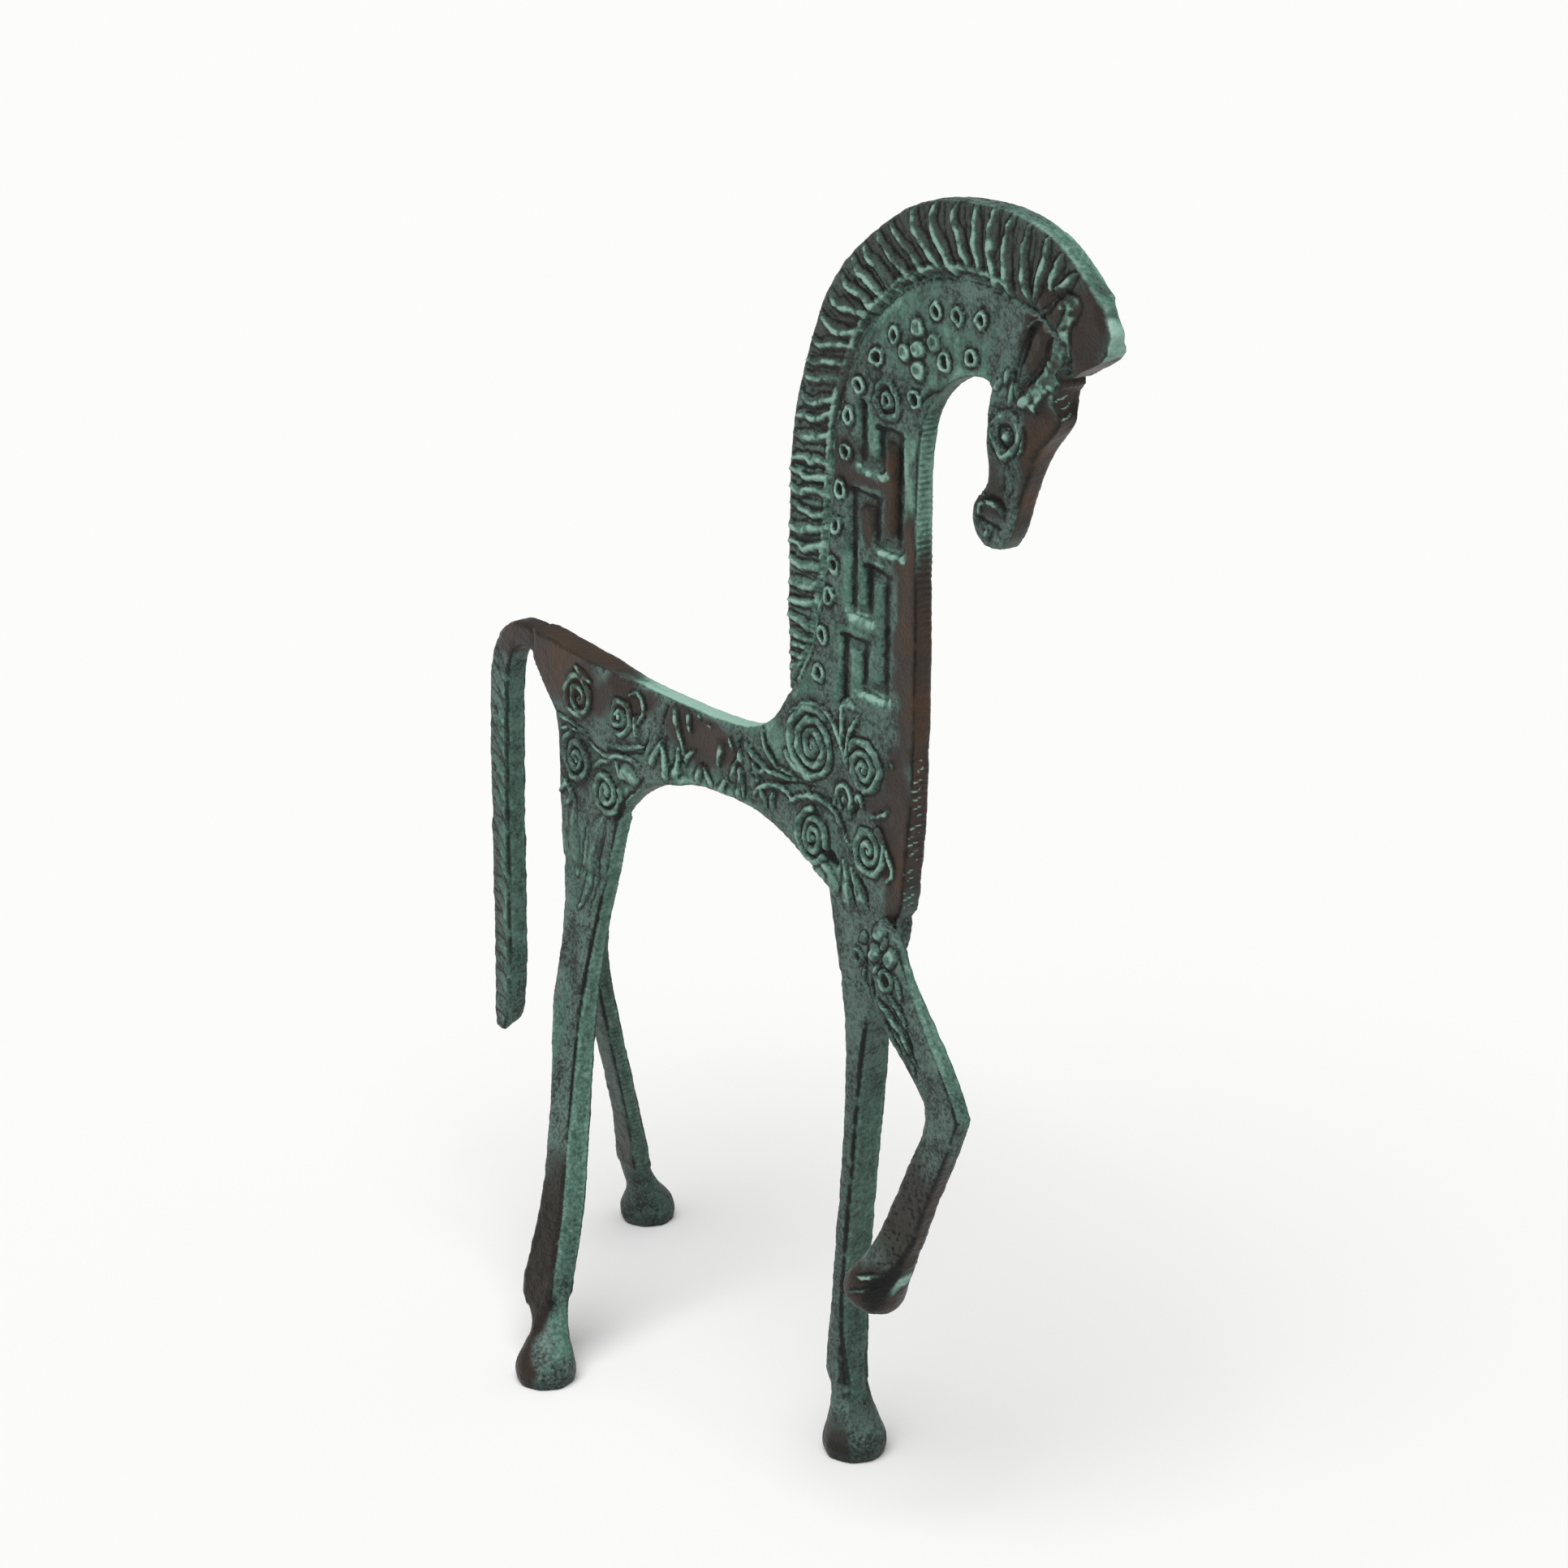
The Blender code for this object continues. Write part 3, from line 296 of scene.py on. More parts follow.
def shoulder_ornament():
    """Tendrils between the shoulder's spirals, with slashes below and behind them."""
    drawn = strokes(
        0.95, 0.75, [(27, 171.3), (25.5, 175), (23.5, 178.4), (20, 181), (15, 182), (10, 180.5), (6, 177.5)],
        [(28.6, 152.3), (26.2, 155.6), (22.5, 159.3), (17, 161), (11, 160), (5.5, 157)],
        [(26.8, 171.5), (27.3, 176.5), (28.8, 180.5), (31, 183.6)], [(24.6, 185.5), (25.2, 180), (24.9, 175.5)],
        [(22.3, 161.3), (23.3, 165.5), (26.2, 167.2), (28.6, 164.6), (28.2, 160)], [(25, 161), (26.4, 164.6)],
        [(29.4, 162), (31.2, 166), (33.2, 163.6)], [(41.6, 157), (43.2, 153), (42, 149.4)],
        [(-4.6, 171), (-3.4, 167.5), (0.5, 164.2), (7, 163.4)],
        [(-9.6, 165.5), (-5.5, 162.8), (1, 162), (8.4, 162.6)], [(-9.2, 159.5), (-6, 160.4), (-3.6, 162)],
        [(-8.5, 153.6), (-5, 157.4), (1, 159.4), (7, 158.2)], [(-5, 157.5), (-3, 153)], [(0, 157.5), (-0.6, 152.4)],
        [(41.5, 166), (38.5, 163.5), (36, 162.6)], [(42.5, 175.8), (41.2, 176.4)])
    drawn += strokes(2.0, 0.8, [(4.6, 168.4), (8.6, 165.8), (14, 164.6)], green=0.95)
    drawn += strokes(
        2.5, 0.45, [(21.6, 142), (20.2, 145), (17, 147.6)], [(27.2, 141), (27, 145), (25.2, 149.6)],
        [(32.4, 142), (31, 145.4), (28.4, 149)], flat=0.3, taper=-0.85, green=0.6)
    drawn += strokes(2.4, -0.9, [(19.8, 149.4), (22.4, 148)], flat=0.2, taper=0.3, green=0, soot=1.0)
    drawn += strokes(
        1.5, 0.8, [(-10.8, 164.8), (-6, 162.9), (1.5, 161.7)], [(-8.2, 161.6), (-6.4, 158.2)],
        [(-13.2, 158.4), (-11.8, 152.8)], taper=-0.7, green=0.75)
    drawn += strokes(
        0.5, -0.5, [(-4.4, 171.6), (-2.6, 167.2), (2, 164), (8, 161.8)], [(2.5, 160.2), (10, 162.6), (18, 163)],
        [(27.4, 172), (27.8, 176.5), (29, 180)], [(20.6, 162.4), (24.6, 158.4), (28, 152.6)],
        [(25, 149.6), (24.6, 145), (24.2, 141)], [(27.8, 149), (29.4, 145), (30, 141)],
        [(31, 148.4), (33.6, 145.6), (35.4, 142)], [(-11, 163.2), (-5, 160.8)], [(-9.4, 160.4), (-7, 157.2)], green=0,
        soot=1.0)
    drawn += strokes(1.2, -0.6, [(25, 164.6), (25.8, 161.6)], [(30.2, 165.4), (30, 161)], green=0, soot=1.0)
    return drawn


def haunch_ornament():
    """Tendrils between the haunch's spirals, and zigzag slashes along the barrel."""
    drawn = strokes(
        0.95, 0.7, [(-66, 150), (-60, 150.4), (-54, 152), (-49.6, 153.4)],
        [(-75, 147.6), (-67, 146.6), (-60, 148.4), (-52, 148.6)],
        [(-57, 164.6), (-53.4, 165.6), (-51, 162), (-52, 158.6)], [(-54, 160), (-53, 155)],
        [(-88, 151), (-80, 150.6), (-74, 149.4)], [(-87.6, 146.8), (-83.5, 149), (-79, 149)],
        [(-88, 131), (-84.4, 134), (-82, 130)], [(-86, 135.4), (-83.4, 132), (-85, 129)],
        [(-64, 146.4), (-69, 144.4), (-73, 141.6)], [(-62, 147), (-60.6, 142)])
    drawn += strokes(
        1.5, 0.75, [(-78.4, 165.4), (-75.6, 164), (-72, 163.4)], [(-81.6, 154.6), (-78, 154), (-73.4, 156)])
    drawn += strokes(3.0, 0.8, [(-60.6, 143), (-57.4, 144.6), (-53.4, 144.4)], flat=0.2, green=0.95)
    drawn += strokes(
        1.5, 0.8, [(-38.6, 165.4), (-36.6, 160), (-34.8, 155)], [(-34.4, 155), (-31, 157.4)],
        [(-46.8, 150.6), (-44.6, 154.6), (-43, 158)], [(-41.4, 149), (-42, 153), (-44, 156.4)],
        [(-38, 151), (-37.8, 154.6), (-36.8, 158)], [(-30, 151.8), (-28.2, 155.4)], [(-25, 152), (-27, 155.2)],
        [(-33.4, 165.4), (-32.2, 162)], [(-16.8, 156), (-14.4, 161)], [(-13.4, 161.6), (-14.6, 166)],
        [(-20.6, 162), (-21.4, 157.6)], [(-20.4, 151.6), (-18.6, 155)], [(-14.4, 152.6), (-12.6, 158)], taper=-0.75,
        green=0.8)
    drawn += strokes(
        0.7, 0.6, [(-29, 167), (-28.6, 166.6)], [(-25.8, 165.8), (-25, 165.6)], [(-17.6, 165), (-16.4, 163)],
        taper=0.3, green=0.9)
    drawn += strokes(
        0.55, -0.5, [(-41.4, 166), (-44.4, 160)], [(-37.6, 153.6), (-33.8, 155.4)], [(-12.4, 167), (-16.6, 158)],
        [(-48, 158), (-49.6, 152)], [(-66, 148.4), (-56, 150), (-50, 151.6)], green=0, soot=1.0)
    return drawn


def thigh_ornament():
    """Soft folds and dark lines that run from the haunch on to the near hind leg."""
    drawn = strokes(
        2.4, 0.3, [(-69, 131), (-73, 124.4), (-76.4, 112)], [(-82, 131), (-83, 123), (-81, 112)], taper=0.7,
        green=0.5)
    drawn += strokes(1.5, 0.35, [(-74.6, 116), (-76.4, 110), (-79.4, 104)], taper=0.7, green=0.6)
    drawn += strokes(
        0.7, -0.3, [(-67, 131), (-70.2, 123), (-72.4, 113), (-75.4, 104)], [(-76.4, 129), (-78.6, 121), (-79, 112)],
        taper=0.8, green=0, soot=0.7)
    drawn += strokes(
        0.9, -0.5, [(-50.5, 146), (-56, 141), (-62, 135.4), (-65.4, 127), (-68, 117), (-70.4, 104)], taper=0.5,
        green=0, soot=1.0)
    return drawn


def crust():
    """Ninety lumps of verdigris, strewn between the ear and the forelock."""
    rng = np.random.default_rng(5)
    near = np.array(curve((85, 264), (88, 267.6), (91.4, 272.5), (93.6, 278), (94.4, 282), (97.4, 286.6)))
    far = np.array(curve((88.4, 264.4), (92, 268), (96.8, 272.6), (97.6, 275.6), (97.2, 280), (99.6, 285.6)))
    drawn = [Stroke([tuple(p) for p in (near + far) / 2], 2.4, 0.3, flat=0.6, taper=0.2, green=0.5)]
    for _ in range(90):
        i, share, slant = rng.integers(len(near)), rng.random(), rng.normal(0, 0.5, 2)
        spot = near[i] + (far[i] - near[i]) * share
        drawn.append(Stroke([tuple(spot), tuple(spot + slant)], rng.uniform(0.5, 1.1), rng.uniform(0.3, 0.65),
                            green=rng.uniform(0.4, 0.8)))
    return drawn


def ear_ornament():
    """The ear, a leaf with a slit, and the crusted brow beside it; they run on to the mane."""
    drawn = strokes(2.3, 0.8, [(84.2, 267), (88, 274.5), (92, 281.3), (97.2, 287.4)], flat=0.3, taper=0.8, green=0.0)
    drawn += strokes(
        0.5, 1.0, [(81.6, 268), (83.8, 274.5), (86.6, 279.6), (90.6, 283.4), (96.6, 288)], taper=0.5, green=0.25)
    drawn += strokes(0.85, -0.9, [(83.6, 269.6), (85.4, 274.2), (87.6, 279.6)], taper=0.7, green=0, soot=1.0)
    drawn += strokes(
        0.5, -0.4, [(86.8, 267.4), (90.8, 273), (93.2, 279), (96.4, 285.4)], taper=0.5, green=0, soot=0.8)
    return drawn + crust()


def head_ornament():
    """Brow, tufts, the leaf round the eye, cheek, mouth and the scratches behind the jaw."""
    drawn = strokes(1.7, 0.85, [(83.4, 263.2), (85.8, 264), (88, 263.2)], flat=0.2, taper=0.4, green=1.0)
    drawn += strokes(
        1.0, 0.6, [(75.4, 264.8), (77.4, 267)], [(79.6, 262.4), (81.2, 267)], [(73.8, 259), (76, 260.4)],
        [(78.4, 266.6), (79.6, 269.4)], [(82.6, 264.4), (82.4, 267)], taper=0.5, green=0.8)
    drawn += strokes(
        1.05, 0.8,
        [(79.6, 251.4), (76.4, 253.6), (75.2, 256.6), (77, 259.6), (80.4, 260.6), (83.4, 258.4), (83.2, 254.8),
         (79.6, 251.4)], taper=0.15, green=0.6)
    drawn += strokes(0.6, 0.5, [(83.8, 259.6), (85, 256.6), (84, 253)], green=0.5)
    drawn += strokes(0.55, -0.3, [(79, 249.6), (74.8, 252.6), (73.6, 257), (76, 261)], green=0, soot=0.7)
    drawn += strokes(1.2, 0.35, [(80.4, 250), (79.6, 246), (78.4, 243)], green=0.35)
    drawn += strokes(0.85, 0.8, [(72.6, 241.2), (75, 240.9), (77.8, 238.8)], taper=0.5, green=1.0)
    drawn += strokes(0.6, 0.5, [(70, 236.6), (70.6, 239.6), (72.4, 241)], [(71.6, 243.6), (72.8, 242)], green=0.7)
    drawn += strokes(1.9, 0.7, [(72.4, 234.4), (73.4, 234.6)], flat=0.2, green=0.6)
    drawn += strokes(
        0.55, -0.5, [(69.4, 237.4), (73.6, 236.9), (77, 236)], [(74, 242.6), (76.4, 242), (78.8, 239.8)], green=0,
        soot=1.0)
    drawn += strokes(
        0.6, -0.35, *[[(51 + i * 1.5, 256.4 + i * 1.1), (54.4 + i * 2.1, 259.4 + i * 1.15)] for i in range(5)],
        green=0, soot=0.9)
    return drawn


def boundary(inset=0.0):
    """The lit rim along the foot of the mane; the mane has one of its own, set in towards the locks."""
    path = np.array(curve(
        (8.6, 186), (13, 192.4), (15.4, 200), (17.2, 207), (18.6, 214), (19.8, 222), (20.8, 235), (21.4, 242),
        (22.8, 250), (25.4, 257), (28.8, 263.6), (33.4, 269.6), (39.4, 275), (46, 279.6), (53.6, 283), (61.4, 284.6),
        (70, 285), (78, 284.2)))
    way = np.gradient(path, axis=0)
    way /= np.linalg.norm(way, axis=1)[:, None]
    path += inset * np.column_stack([way[:, 1], -way[:, 0]])
    half, green = (1.3, 0.75) if inset else (0.75, 0.6)
    return [Stroke([tuple(p) for p in path], half, 0.45, green=green)]


# Crests of the locks on the upright neck and on the arch over the poll, each from its tip to its foot.
UPRIGHT_LOCKS = [
    [(5.4, 187.4), (7.4, 188.6)], [(5.6, 191), (9.4, 191)], [(5.8, 193.2), (10.6, 193.8)],
    [(5.6, 196), (9, 195.4), (13.4, 195.8)], [(5.4, 200), (9.4, 199), (14, 198)],
    [(5.6, 203.8), (10, 203.6), (15.4, 204.4)], [(5.6, 207.6), (10, 207.2), (12.4, 208), (16.6, 208.8)],
    [(6, 212.8), (9.6, 211.4), (13, 212.4), (17.6, 213.2)],
    [(5.8, 216.6), (9, 217), (11, 215.7), (15, 217.2), (18.2, 218.2)],
    [(6, 220.4), (9.8, 219.4), (13.2, 220.6), (18.8, 222.2)], [(5.8, 225), (12, 224.2), (15, 224), (19.4, 225.8)],
    [(6.2, 228.7), (9, 227.7), (11.6, 228.9), (15, 229.6), (19.4, 229)],
    [(6.2, 232.6), (10, 232.7), (12, 231.8), (16, 232.6), (20.2, 233.4)],
    [(7, 235.6), (11, 236.4), (13.6, 235.5), (16, 236.4), (20, 236.4)],
    [(7.6, 240.4), (13, 240.4), (16, 241.5), (20.6, 243.2)],
    [(8.8, 244.6), (11.4, 245.4), (14.6, 245.2), (20, 247.4)], [(10, 249.6), (13, 248.2), (16, 249), (21, 250.6)],
    [(11.4, 253.8), (14, 253.2), (17, 254.4), (22, 255.4)], [(12, 257.4), (15, 257), (18.6, 258.2), (24, 259)],
    [(14, 262.4), (16.4, 261.3), (19, 262), (26, 263.4)]]
ARCH_LOCKS = [
    [(17, 268.4), (19.6, 266), (23.4, 265.4), (28.4, 266.6)], [(20, 273), (22.6, 270.8), (26, 270.8), (31, 271)],
    [(23.4, 277.4), (26, 275.6), (31, 274.4), (36.6, 271.6)],
    [(28, 282), (30.2, 279.4), (33.4, 278.2), (37.6, 275.6)],
    [(31.4, 285.2), (33, 282.8), (36.4, 281.4), (38.4, 279.6)], [(36.4, 281.8), (39, 279.6), (43.2, 277.4)],
    [(36.4, 288.6), (39, 285.6), (43.4, 282.6), (49, 280.8)],
    [(40.2, 291.4), (43.4, 288), (47.4, 285.6), (51, 283.6)],
    [(47.8, 295.4), (48.4, 291.6), (51.4, 288.6), (56, 285.2)],
    [(55, 298.6), (53.6, 294.4), (55.6, 290.8), (60.2, 286.4)],
    [(61.4, 299.4), (60.8, 295.4), (63.4, 292), (65, 287)], [(67.6, 300), (67.6, 295.6), (68, 290), (69.4, 286.4)],
    [(73.4, 300.2), (72.6, 295.4), (73, 290.6), (74.4, 286.6)], [(79, 299.8), (77, 295.4), (76.6, 291), (78.4, 287)],
    [(84.2, 298.6), (82.4, 293.6), (83, 289.4), (84.6, 285.6)], [(89.4, 297), (88.4, 292.8), (87, 287.4)],
    [(93.4, 294.6), (92.4, 292), (92, 290.4)], [(98, 291.6), (96.4, 290.4), (95.4, 289.6)]]


def reaching(path, reach):
    """A lock whose foot is drawn out so far."""
    (x, z), (end_x, end_z) = path[-2:]
    further = 1 + reach / math.hypot(end_x - x, end_z - z)
    return [*path[:-1], (x + (end_x - x) * further, z + (end_z - z) * further)]


def mane_ornament():
    """Wavy locks: each has a lit crest, a steep lower side and a long slope on the side of the poll.

    Two fine dark lines run between each lock and the next.
    """
    upright = [reaching(path, 1.2) for path in UPRIGHT_LOCKS]
    arch = [reaching(path, 2.6) for path in ARCH_LOCKS]
    drawn = [Stroke(curve(*path), 1.05 + 0.2 * math.sin(i * 2.3), 0.75, taper=0.4, green=0.95, lean=1.9)
             for i, path in enumerate(upright)]
    drawn += [Stroke(curve(*path), 1.0 + 0.2 * math.sin(i * 1.7), 1.0, taper=0.5, green=0.85, lean=2.2)
              for i, path in enumerate(arch)]
    for locks in (upright, arch):
        for one, two in zip(locks, locks[1:]):
            for share in (0.4, 0.72):
                ends = [[np.array(lock[i]) for i in (0, len(lock) // 2, -1)] for lock in (one, two)]
                path = [tuple(a + (b - a) * share) for a, b in zip(*ends)]
                drawn.append(Stroke(curve(*path), 0.42, -0.3, taper=0.6, soot=0.6))
    return drawn


def bead_ornament():
    """Pebble beads, small loops and slashes at the root of the raised foreleg."""
    beads = ((42.1, 138.4, 2.2), (40.6, 133.3, 2.0), (46.4, 133.9, 2.1), (43.8, 136.2, 1.2), (36.6, 135.6, 1.3))
    drawn = [Stroke([(x, z), (x + 0.5, z + 0.9)], half, 1.0, flat=0.4, green=0.55) for x, z, half in beads]
    for x, z, radius in ((34.9, 131.2, 1.5), (45.7, 129.1, 2.0)):
        drawn += [ring(x, z, radius, 0.75, 0.75, green=0.6), dot(x, z, 1.0, -0.5, flat=0.3, soot=1.0)]
    drawn += strokes(
        0.95, 0.75, [(43, 123.9), (48.4, 121.9), (56.1, 116.4)], [(46.9, 126.4), (51, 124), (54.8, 120.9)],
        [(49.6, 119.4), (54, 116), (58.4, 112.3)], [(37.8, 131), (38.2, 126.8), (40.6, 122.4), (45, 117.8)],
        [(49, 131), (51.6, 127)], [(41.6, 129.6), (43, 131.6)], green=0.7)
    drawn += strokes(
        0.7, -0.5, [(48.4, 125), (54.6, 119.6), (59, 114)], [(46.4, 121), (53.6, 114.6)], [(38.4, 135.6), (38, 129)],
        [(43.6, 132), (44.2, 134.6)], green=0, soot=1.0)
    drawn += strokes(1.3, -0.6, [(40.6, 127.6), (41.6, 124.6)], green=0, soot=1.0)
    return drawn


def hoof_ornament():
    """Two thin ridges on the raised hoof."""
    return strokes(
        0.7, 0.45, [(45, 60.4), (49, 61.6), (52.6, 62.6)], [(44, 57), (48.4, 58.4), (52.4, 59.8)], green=0.9)


def tail_ornament():
    """Faint slanted strands."""
    heights = [160 - i * 5.4 + 0.8 * math.sin(i * 2.1) for i in range(19)]
    return strokes(1.3, 0.2, *[((-118.6, z), (-115, z - 2.6), (-112, z - 7)) for z in heights],
                   taper=0.5, green=0.3, lean=1.8)


def over(points, stroke):
    """How far each point lies from a stroke: from its middle in half widths, and from its edge in millimetres."""
    path = np.array(stroke.points, float)
    best = np.full(len(points), 1e9)
    where = np.zeros(len(points))
    left = np.zeros(len(points))
    steps = np.linalg.norm(np.diff(path, axis=0), axis=1)
    total = max(steps.sum(), 1e-9)
    done = 0.0
    for start, end, step in zip(path[:-1], path[1:], steps):
        way = end - start
        off = points - start
        t = np.clip((off @ way) / max(step * step, 1e-9), 0, 1)
        d = np.linalg.norm(off - t[:, None] * way, axis=1)
        nearer = d < best
        best = np.where(nearer, d, best)
        where = np.where(nearer, (done + t * step) / total, where)
        left = np.where(nearer, way[0] * off[:, 1] - way[1] * off[:, 0], left)
        done += step
    thin = (2 * where - 1) ** 2 if stroke.taper > 0 else -where
    half = stroke.half * (1 - stroke.taper * thin)
    half = half * np.where(left > 0, stroke.lean, 1)
    return best / half, best - half


def draw(flat_points, drawn):
    """Height in millimetres, share of pale green, share of grime and painted shade, and distance to the nearest line
    at each point of the plane.
    """
    count = len(flat_points)
    raised, cut, green, dirt_and_shade, foot, top = (np.zeros(count) for _ in range(6))
    clear = np.full(count, 1e9)
    for stroke in drawn:
        path = np.array(stroke.points, float)
        room = stroke.half * stroke.lean + FOOT_REACH
        lo, hi = path.min(0) - room, path.max(0) + room
        inside = np.flatnonzero(((flat_points >= lo) & (flat_points <= hi)).all(1))
        if not len(inside):
            continue
        t, gap = over(flat_points[inside], stroke)
        fall = np.clip((t - stroke.flat) / (1 - stroke.flat), 0, 1)
        bell = 0.5 + 0.5 * np.cos(math.pi * fall)
        if stroke.rise:
            clear[inside] = np.minimum(clear[inside], gap)
        if stroke.rise > 0:
            raised[inside] = np.maximum(raised[inside], stroke.rise * bell)
            # A line about 0.4 mm wide along the foot of what is raised darkens, as grime and as painted shade in the
            # crease.
            foot[inside] = np.maximum(foot[inside], np.exp(-((gap - 0.08) / 0.38) ** 2))
            top[inside] = np.maximum(top[inside], bell)
        else:
            cut[inside] = np.minimum(cut[inside], stroke.rise * bell)
        sharp = bell ** (0.8 * max(1.0, stroke.lean))
        green[inside] = np.maximum(green[inside], stroke.green * sharp)
        dirt_and_shade[inside] = np.maximum(dirt_and_shade[inside], stroke.soot * bell)
    dirt_and_shade = np.maximum(dirt_and_shade, 0.8 * foot * (1 - top) ** 2)
    green *= 1 - 0.9 * dirt_and_shade * (top < 0.5)
    return raised + cut, green, dirt_and_shade, clear


def smooth_step(value, low, high):
    """Nil below low and one above high, with soft ends."""
    t = np.clip((value - low) / (high - low), 0, 1)
    return t * t * (3 - 2 * t)


def patches(points, faces, spots):
    """The share of a patina at each point, from soft spots: face, x, z, half width, half height and share."""
    total = np.zeros(len(points))
    for face, x, z, wide, tall, share in spots:
        far = ((points[:, 0] - x) / wide) ** 2 + ((points[:, 1] - z) / tall) ** 2
        total = np.maximum(total, share * np.exp(-0.7 * far * far) * faces[face])
    return total


def get_points(mesh):
    co = np.empty(len(mesh.vertices) * 3, np.float32)
    mesh.vertices.foreach_get("co", co)
    return co.reshape(-1, 3).astype(float)


def set_points(mesh, points):
    mesh.vertices.foreach_set("co", np.asarray(points, np.float32).ravel())
    mesh.update()


def get_normals(mesh):
    found = np.empty(len(mesh.vertices) * 3, np.float32)
    mesh.vertex_normals.foreach_get("vector", found)
    return found.reshape(-1, 3).astype(float)


def around(mesh, values, rounds=1, moving=None):
    """Values averaged over each point's neighbours, again and again, where they may move."""
    ends = np.empty(len(mesh.edges) * 2, np.int32)
    mesh.edges.foreach_get("vertices", ends)
    a, b = ends[0::2], ends[1::2]
    count = len(values)
    links = np.maximum(np.bincount(a, minlength=count) + np.bincount(b, minlength=count), 1)
    for _ in range(rounds):
        mean = (np.bincount(a, values[b], count) + np.bincount(b, values[a], count)) / links
        values = mean if moving is None else np.where(moving, mean, values)
    return values


def on_drawing(points):
    """Points of the frame in millimetres of the drawing."""
    return points[:, [0, 2]] / MM - (DRAWING_X, 0)


def lumps(points, size_mm, octaves=3):
    """Soft noise about zero, with lumps of this size."""
    scale = 1 / (size_mm * MM)
    return np.array([noise.fractal(Vector(p * scale), 1.0, 2.0, octaves) for p in points])


def solid_of(node):
    """A merged copy of a CAD node's mesh, and the tree of its surface."""
    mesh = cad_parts[node].data.copy()
    bm = bmesh.new()
    bm.from_mesh(mesh)
    bmesh.ops.remove_doubles(bm, verts=bm.verts, dist=1e-6)
    tree = BVHTree.FromBMesh(bm)
    bm.to_mesh(mesh)
    bm.free()
    return mesh, tree


def level_faces(skin, tree, solid, flush):
    """Lays the skin on the CAD solid, but level over the solid's own coarse ornament and beside flush joints."""
    points, normals = get_points(skin), get_normals(skin)
    depth = np.abs(points[:, 1] / MM - MIDDLE_Y)
    levelled = np.zeros(len(points), bool)
    if solid:
        levelled = (draw(on_drawing(points), solid)[3] < LEVEL_REACH) & (depth > FACE_DEPTH)
    for node in flush:
        mesh, beside = solid_of(node)
        bpy.data.meshes.remove(mesh)
        close = np.array([beside.find_nearest(Vector(p), FLUSH_REACH)[0] is not None for p in points])
        levelled |= close & (np.abs(normals[:, 1]) > 0.3) & (depth > FACE_DEPTH)
    laid = np.array([tree.find_nearest(Vector(p))[0] for p in points])
    laid[levelled] = points[levelled]
    depth = np.abs(laid[:, 1] / MM - MIDDLE_Y)
    if levelled.any():
        known = np.flatnonzero(~levelled & (depth > LEVEL_DEPTH))
        near = KDTree(len(known))
        for i in known:
            near.insert(laid[i], i)
        near.balance()
        depth[levelled] = [depth[near.find(p)[1]] for p in laid[levelled]]
        depth = around(skin, depth, LEVEL_ROUNDS, levelled)
        sides = np.sign(points[:, 1] / MM - MIDDLE_Y)
        laid[levelled, 1] = (MIDDLE_Y + (sides * depth)[levelled]) * MM
    set_points(skin, laid)


def refine_skin(skin, drawn):
    """Halves the spacing of the skin along the ornament and on the marked fronts."""
    points, normals = get_points(skin), get_normals(skin)
    close = draw(on_drawing(points), drawn)[3] < FINE_REACH
    close &= np.abs(points[:, 1] / MM - MIDDLE_Y) > FACE_DEPTH
    for low, high, rear, front, forward in MARKED_FRONTS:
        close |= ((points[:, 2] > low) & (points[:, 2] < high) & (points[:, 0] > rear) & (points[:, 0] < front)
                  & (normals[:, 0] > forward))
    bm = bmesh.new()
    bm.from_mesh(skin)
    edges = [e for e in bm.edges if close[e.verts[0].index] and close[e.verts[1].index]]
    bmesh.ops.subdivide_edges(bm, edges=edges, cuts=1, use_grid_fill=True)
    bmesh.ops.triangulate(bm, faces=[f for f in bm.faces if len(f.verts) > 4])
    bm.to_mesh(skin)
    bm.free()


def skin_of(node, grain, drawn, solid, flush, refine):
    """A fine even skin on a copy of one CAD node."""
    mesh, tree = solid_of(node)
    rough = bpy.data.objects.new("rough_" + node, mesh)
    bpy.context.scene.collection.objects.link(rough)
    remesh = rough.modifiers.new("Skin", "REMESH")
    remesh.mode = "VOXEL"
    remesh.voxel_size = grain
    view = bpy.context.evaluated_depsgraph_get()
    skin = bpy.data.meshes.new_from_object(rough.evaluated_get(view))
    bpy.data.objects.remove(rough)
    bpy.data.meshes.remove(mesh)
    if refine:
        refine_skin(skin, drawn)
    level_faces(skin, tree, solid, flush)
    return skin


def close_seams(points, normals, neighbours):
    """Carries the faces of a joint into the next casting and a little under its skin, so the joint reads as shut.

    Returns the points, which of them were carried and the way that their skin faces beside the joint.
    """
    carried = np.zeros(len(points), bool)
    outers = np.zeros((len(points), 3))
    for node in neighbours:
        mesh, tree = solid_of(node)
        bpy.data.meshes.remove(mesh)
        for i, p in enumerate(points):
            spot, _, _, gap = tree.find_nearest(Vector(p), JOINT_GAP)
            if spot and gap > 1e-6 and not carried[i]:
                way = (np.array(spot) - p) / gap
                outer = normals[i] - way * normals[i].dot(way)
                length = np.linalg.norm(outer)
                carried[i] = True
                outers[i] = outer / length if length > 0.35 else 0
                points[i] = p + way * (gap + SEAM_LAP) - outers[i] * SEAM_DIP
    return points, carried, outers


